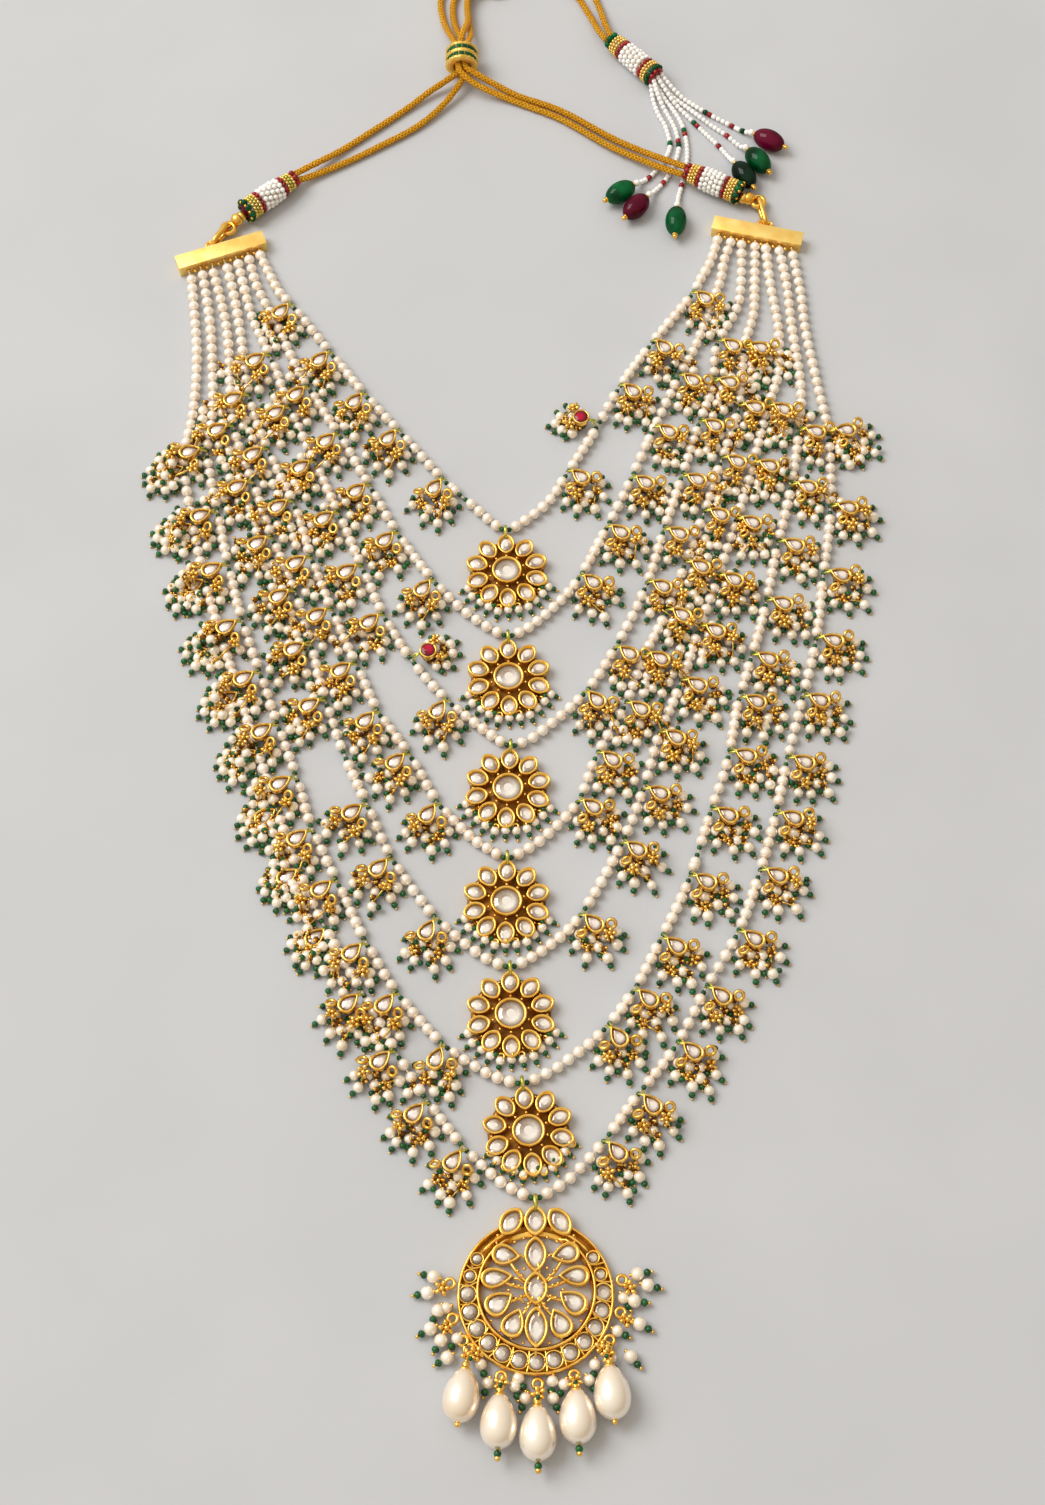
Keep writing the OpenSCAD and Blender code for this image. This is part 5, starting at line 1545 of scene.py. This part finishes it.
# %% Strings of the tassel
tassel_routes = [
    [(56.4, 253, 5.4), (61, 247.5, 3.2), (67, 242.5, 0.8), (74, 237, 0.8), (83, 231, 0.8),
     (88, 227.6, 1.6), (91.4, 225, 3.6)],
    [(55.8, 252.5, 3.2), (60.4, 245.6, 1.2), (67, 239.3, 0.8), (75, 231.5, 0.8), (82, 225.5, 0.8),
     (86, 220.6, 1.6), (88.6, 217.6, 3.6)],
    [(54.9, 251.6, 5.4), (59, 245, 3.4), (64.5, 238, 0.8), (72, 228.5, 0.8), (78.5, 220.5, 0.8),
     (82, 214.8, 1.6), (83.8, 211, 3.6)],
    [(54.2, 251, 3.2), (57.6, 244.4, 1.4), (61.6, 237.6, 0.8), (65, 229, 0.8), (66, 216, 0.8),
     (63.6, 203, 0.8), (62, 196, 1.6), (61.2, 190.2, 3.6)],
    [(53.6, 250, 5.4), (55.6, 243, 3.4), (59, 236, 0.8), (62, 228, 0.8), (62.6, 218, 0.8),
     (58, 206, 0.8), (53, 199, 1.6), (50.2, 195.2, 3.6)],
    [(52.7, 249.6, 3.2), (53.6, 243, 1.4), (55.6, 236, 0.8), (58.4, 229, 0.8), (59.2, 219, 0.8),
     (53, 208, 0.8), (48, 203.4, 1.6), (45.6, 200.8, 3.6)]]
# Coloured beads of each string: distance from the barrel, colour
tassel_accents = [
    [(24.2, "green"), (26, "red"), (36.1, "red"), (41, "green")],
    [(37.5, "red")],
    [(24.8, "green"), (26.6, "red"), (39.2, "red")],
    [(25.4, "green"), (27.2, "red"), (51.9, "red")],
    [(29.2, "red"), (31, "green"), (50.2, "red")],
    [(28.7, "green"), (47.4, "red")]]
accent_finish = {"green": emerald_glass, "red": red_seed}
# Distance from one seed bead's middle to the next, and of the outer ones from a stretch's end
SEED_GAP, SEED_END = 1.92, 0.95
for i, (route, accents) in enumerate(zip(tassel_routes, tassel_accents)):
    line = smooth_line(route, 8)
    line[:, 2] = np.maximum(line[:, 2], 1.02)
    edges = [0.0] + [d + s for d, _ in accents for s in (-1.0, 1.0)] + [lengths(line)[-1]]
    stretches = []
    for a, b in zip(edges[::2], edges[1::2]):
        if b - a > 2:
            stretch = at_length(line, np.linspace(a + SEED_END, b - SEED_END, max(3, int(b - a))))
            stretches.append((stretch, max(2, round((b - a - 2 * SEED_END) / SEED_GAP) + 1)))
    strung = [threaded_beads("white_seeds", "short_bead", stretches, white_seed, 31 + i,
                             0.94, 1.02)]
    for tint, stuff in accent_finish.items():
        marks = [(at_length(line, [d])[0],
                  lying(at_length(line, [d + 0.5])[0] - at_length(line, [d - 0.5])[0]), 1.06)
                 for d, kind in accents if kind == tint]
        if marks:
            strung.append(copies("accents", "short_bead", marks, stuff))
    strung.append(part("thread", tube(line, 0.28, 5), silk))
    name = f"tassel_string_{i + 1}"
    finished(joined(name + "_seeds", strung), "seed_beads", name)

# %% Oval beads
# Each bead: x, y, turn of its pin, glass
ovals = [(97.2, 221.4, -29, maroon_glass), (92.6, 211.8, -54, emerald_glass),
         (87, 205, -60, dark_green_glass), (60.6, 183.4, -95, emerald_glass),
         (45.8, 190, -131, maroon_glass), (40, 196.8, -146, emerald_glass)]
OVAL_R, OVAL_HALF = 4.0, 6.3
oval = lathe([(OVAL_R * math.sin(t), OVAL_HALF * (1 - math.cos(t))) for t in half_turn], 36)
pin_cap = lathe([(0.5, -0.5), (0.9, -0.45), (1.1, -0.2), (0.9, 0.1), (0.5, 0.25)], 14)
for i, (x, y, turn, glass) in enumerate(ovals):
    way = np.array([*polar(turn), 0])
    middle = np.array([x, y, OVAL_R])
    fittings = together([laid(pin_cap, middle - way * 6.1, way),
                         laid(pin_cap, middle + way * 6.1, -way),
                         ball(0.95, 12, 8, at=middle + way * 7.1)])
    bits = [part("glass", laid(oval, middle - way * OVAL_HALF, way), glass),
            part("pin", fittings, gold),
            part("round", ball(1.25, 14, 9, at=middle - way * 7.6), white_seed)]
    name = f"tassel_bead_{i + 1}"
    finished(joined(name + "_drop", bits), glass.name.replace(" ", "_"), name)
print("tassel triangles:", count_of("tassel"))

# %% [markdown]
# ## Floor and light
#
# The necklace lies on a plain pale floor. One large soft lamp stands high at the upper left, as a
# window would. The sky is brightest towards that side and opens the shadows. Pearls and gold show
# little but what they mirror, so the sky matters as much as the lamp.

# %% The patterns have done their work
for pattern in patterns.values():
    bpy.data.objects.remove(pattern)

# %% Floor
FLOOR = 1500
square = [(-FLOOR, -FLOOR, 0), (FLOOR, -FLOOR, 0), (FLOOR, FLOOR, 0), (-FLOOR, FLOOR, 0)]
paper = finish("paper", (0.50, 0.51, 0.53), (0.525, 0.535, 0.555), 14, (0.85, 0.95), 900, 0.3, 0.1)
floor = as_object("floor", as_mesh("floor", (square, [(0, 1, 2, 3)]), False))
floor.data.materials.append(paper)

# %% Sky
WINDOW_SIDE = (-0.55, 0.3, 0.78)
sky = bpy.data.worlds.new("sky")
bpy.context.scene.world = sky
sky.use_nodes = True
tree, backdrop = sky.node_tree, sky.node_tree.nodes["Background"].inputs
towards = tree.nodes.new("ShaderNodeVectorMath")
towards.operation = "DOT_PRODUCT"
feed(tree, towards.inputs[0], add(tree, "ShaderNodeTexCoord").outputs["Generated"])
feed(tree, towards.inputs[1], WINDOW_SIDE)
bright = ramp_between(tree, towards.outputs["Value"], -0.35, 0.95)
feed(tree, backdrop["Color"], mixed(tree, bright, (0.46, 0.36, 0.24, 1), (1.0, 0.96, 0.89, 1)))
feed(tree, backdrop["Strength"], 0.88)

# %% Lamp
LAMP_AT = (-1.7, 0.75, 2.3)
light = bpy.data.lights.new("window", "AREA")
light.size = 1.7
light.energy = 62
lamp = as_object("window", light)
lamp.location = LAMP_AT
lamp.rotation_euler = (-Vector(LAMP_AT)).to_track_quat("-Z", "Y").to_euler()

# %% [markdown]
# ## The end
#
# The three gold cords are free cords. The two cords on the left run on to the tassel's barrel, and
# the one on the right comes back to its own.

print("pieces:", len(triangles), "triangles:", sum(triangles.values()))
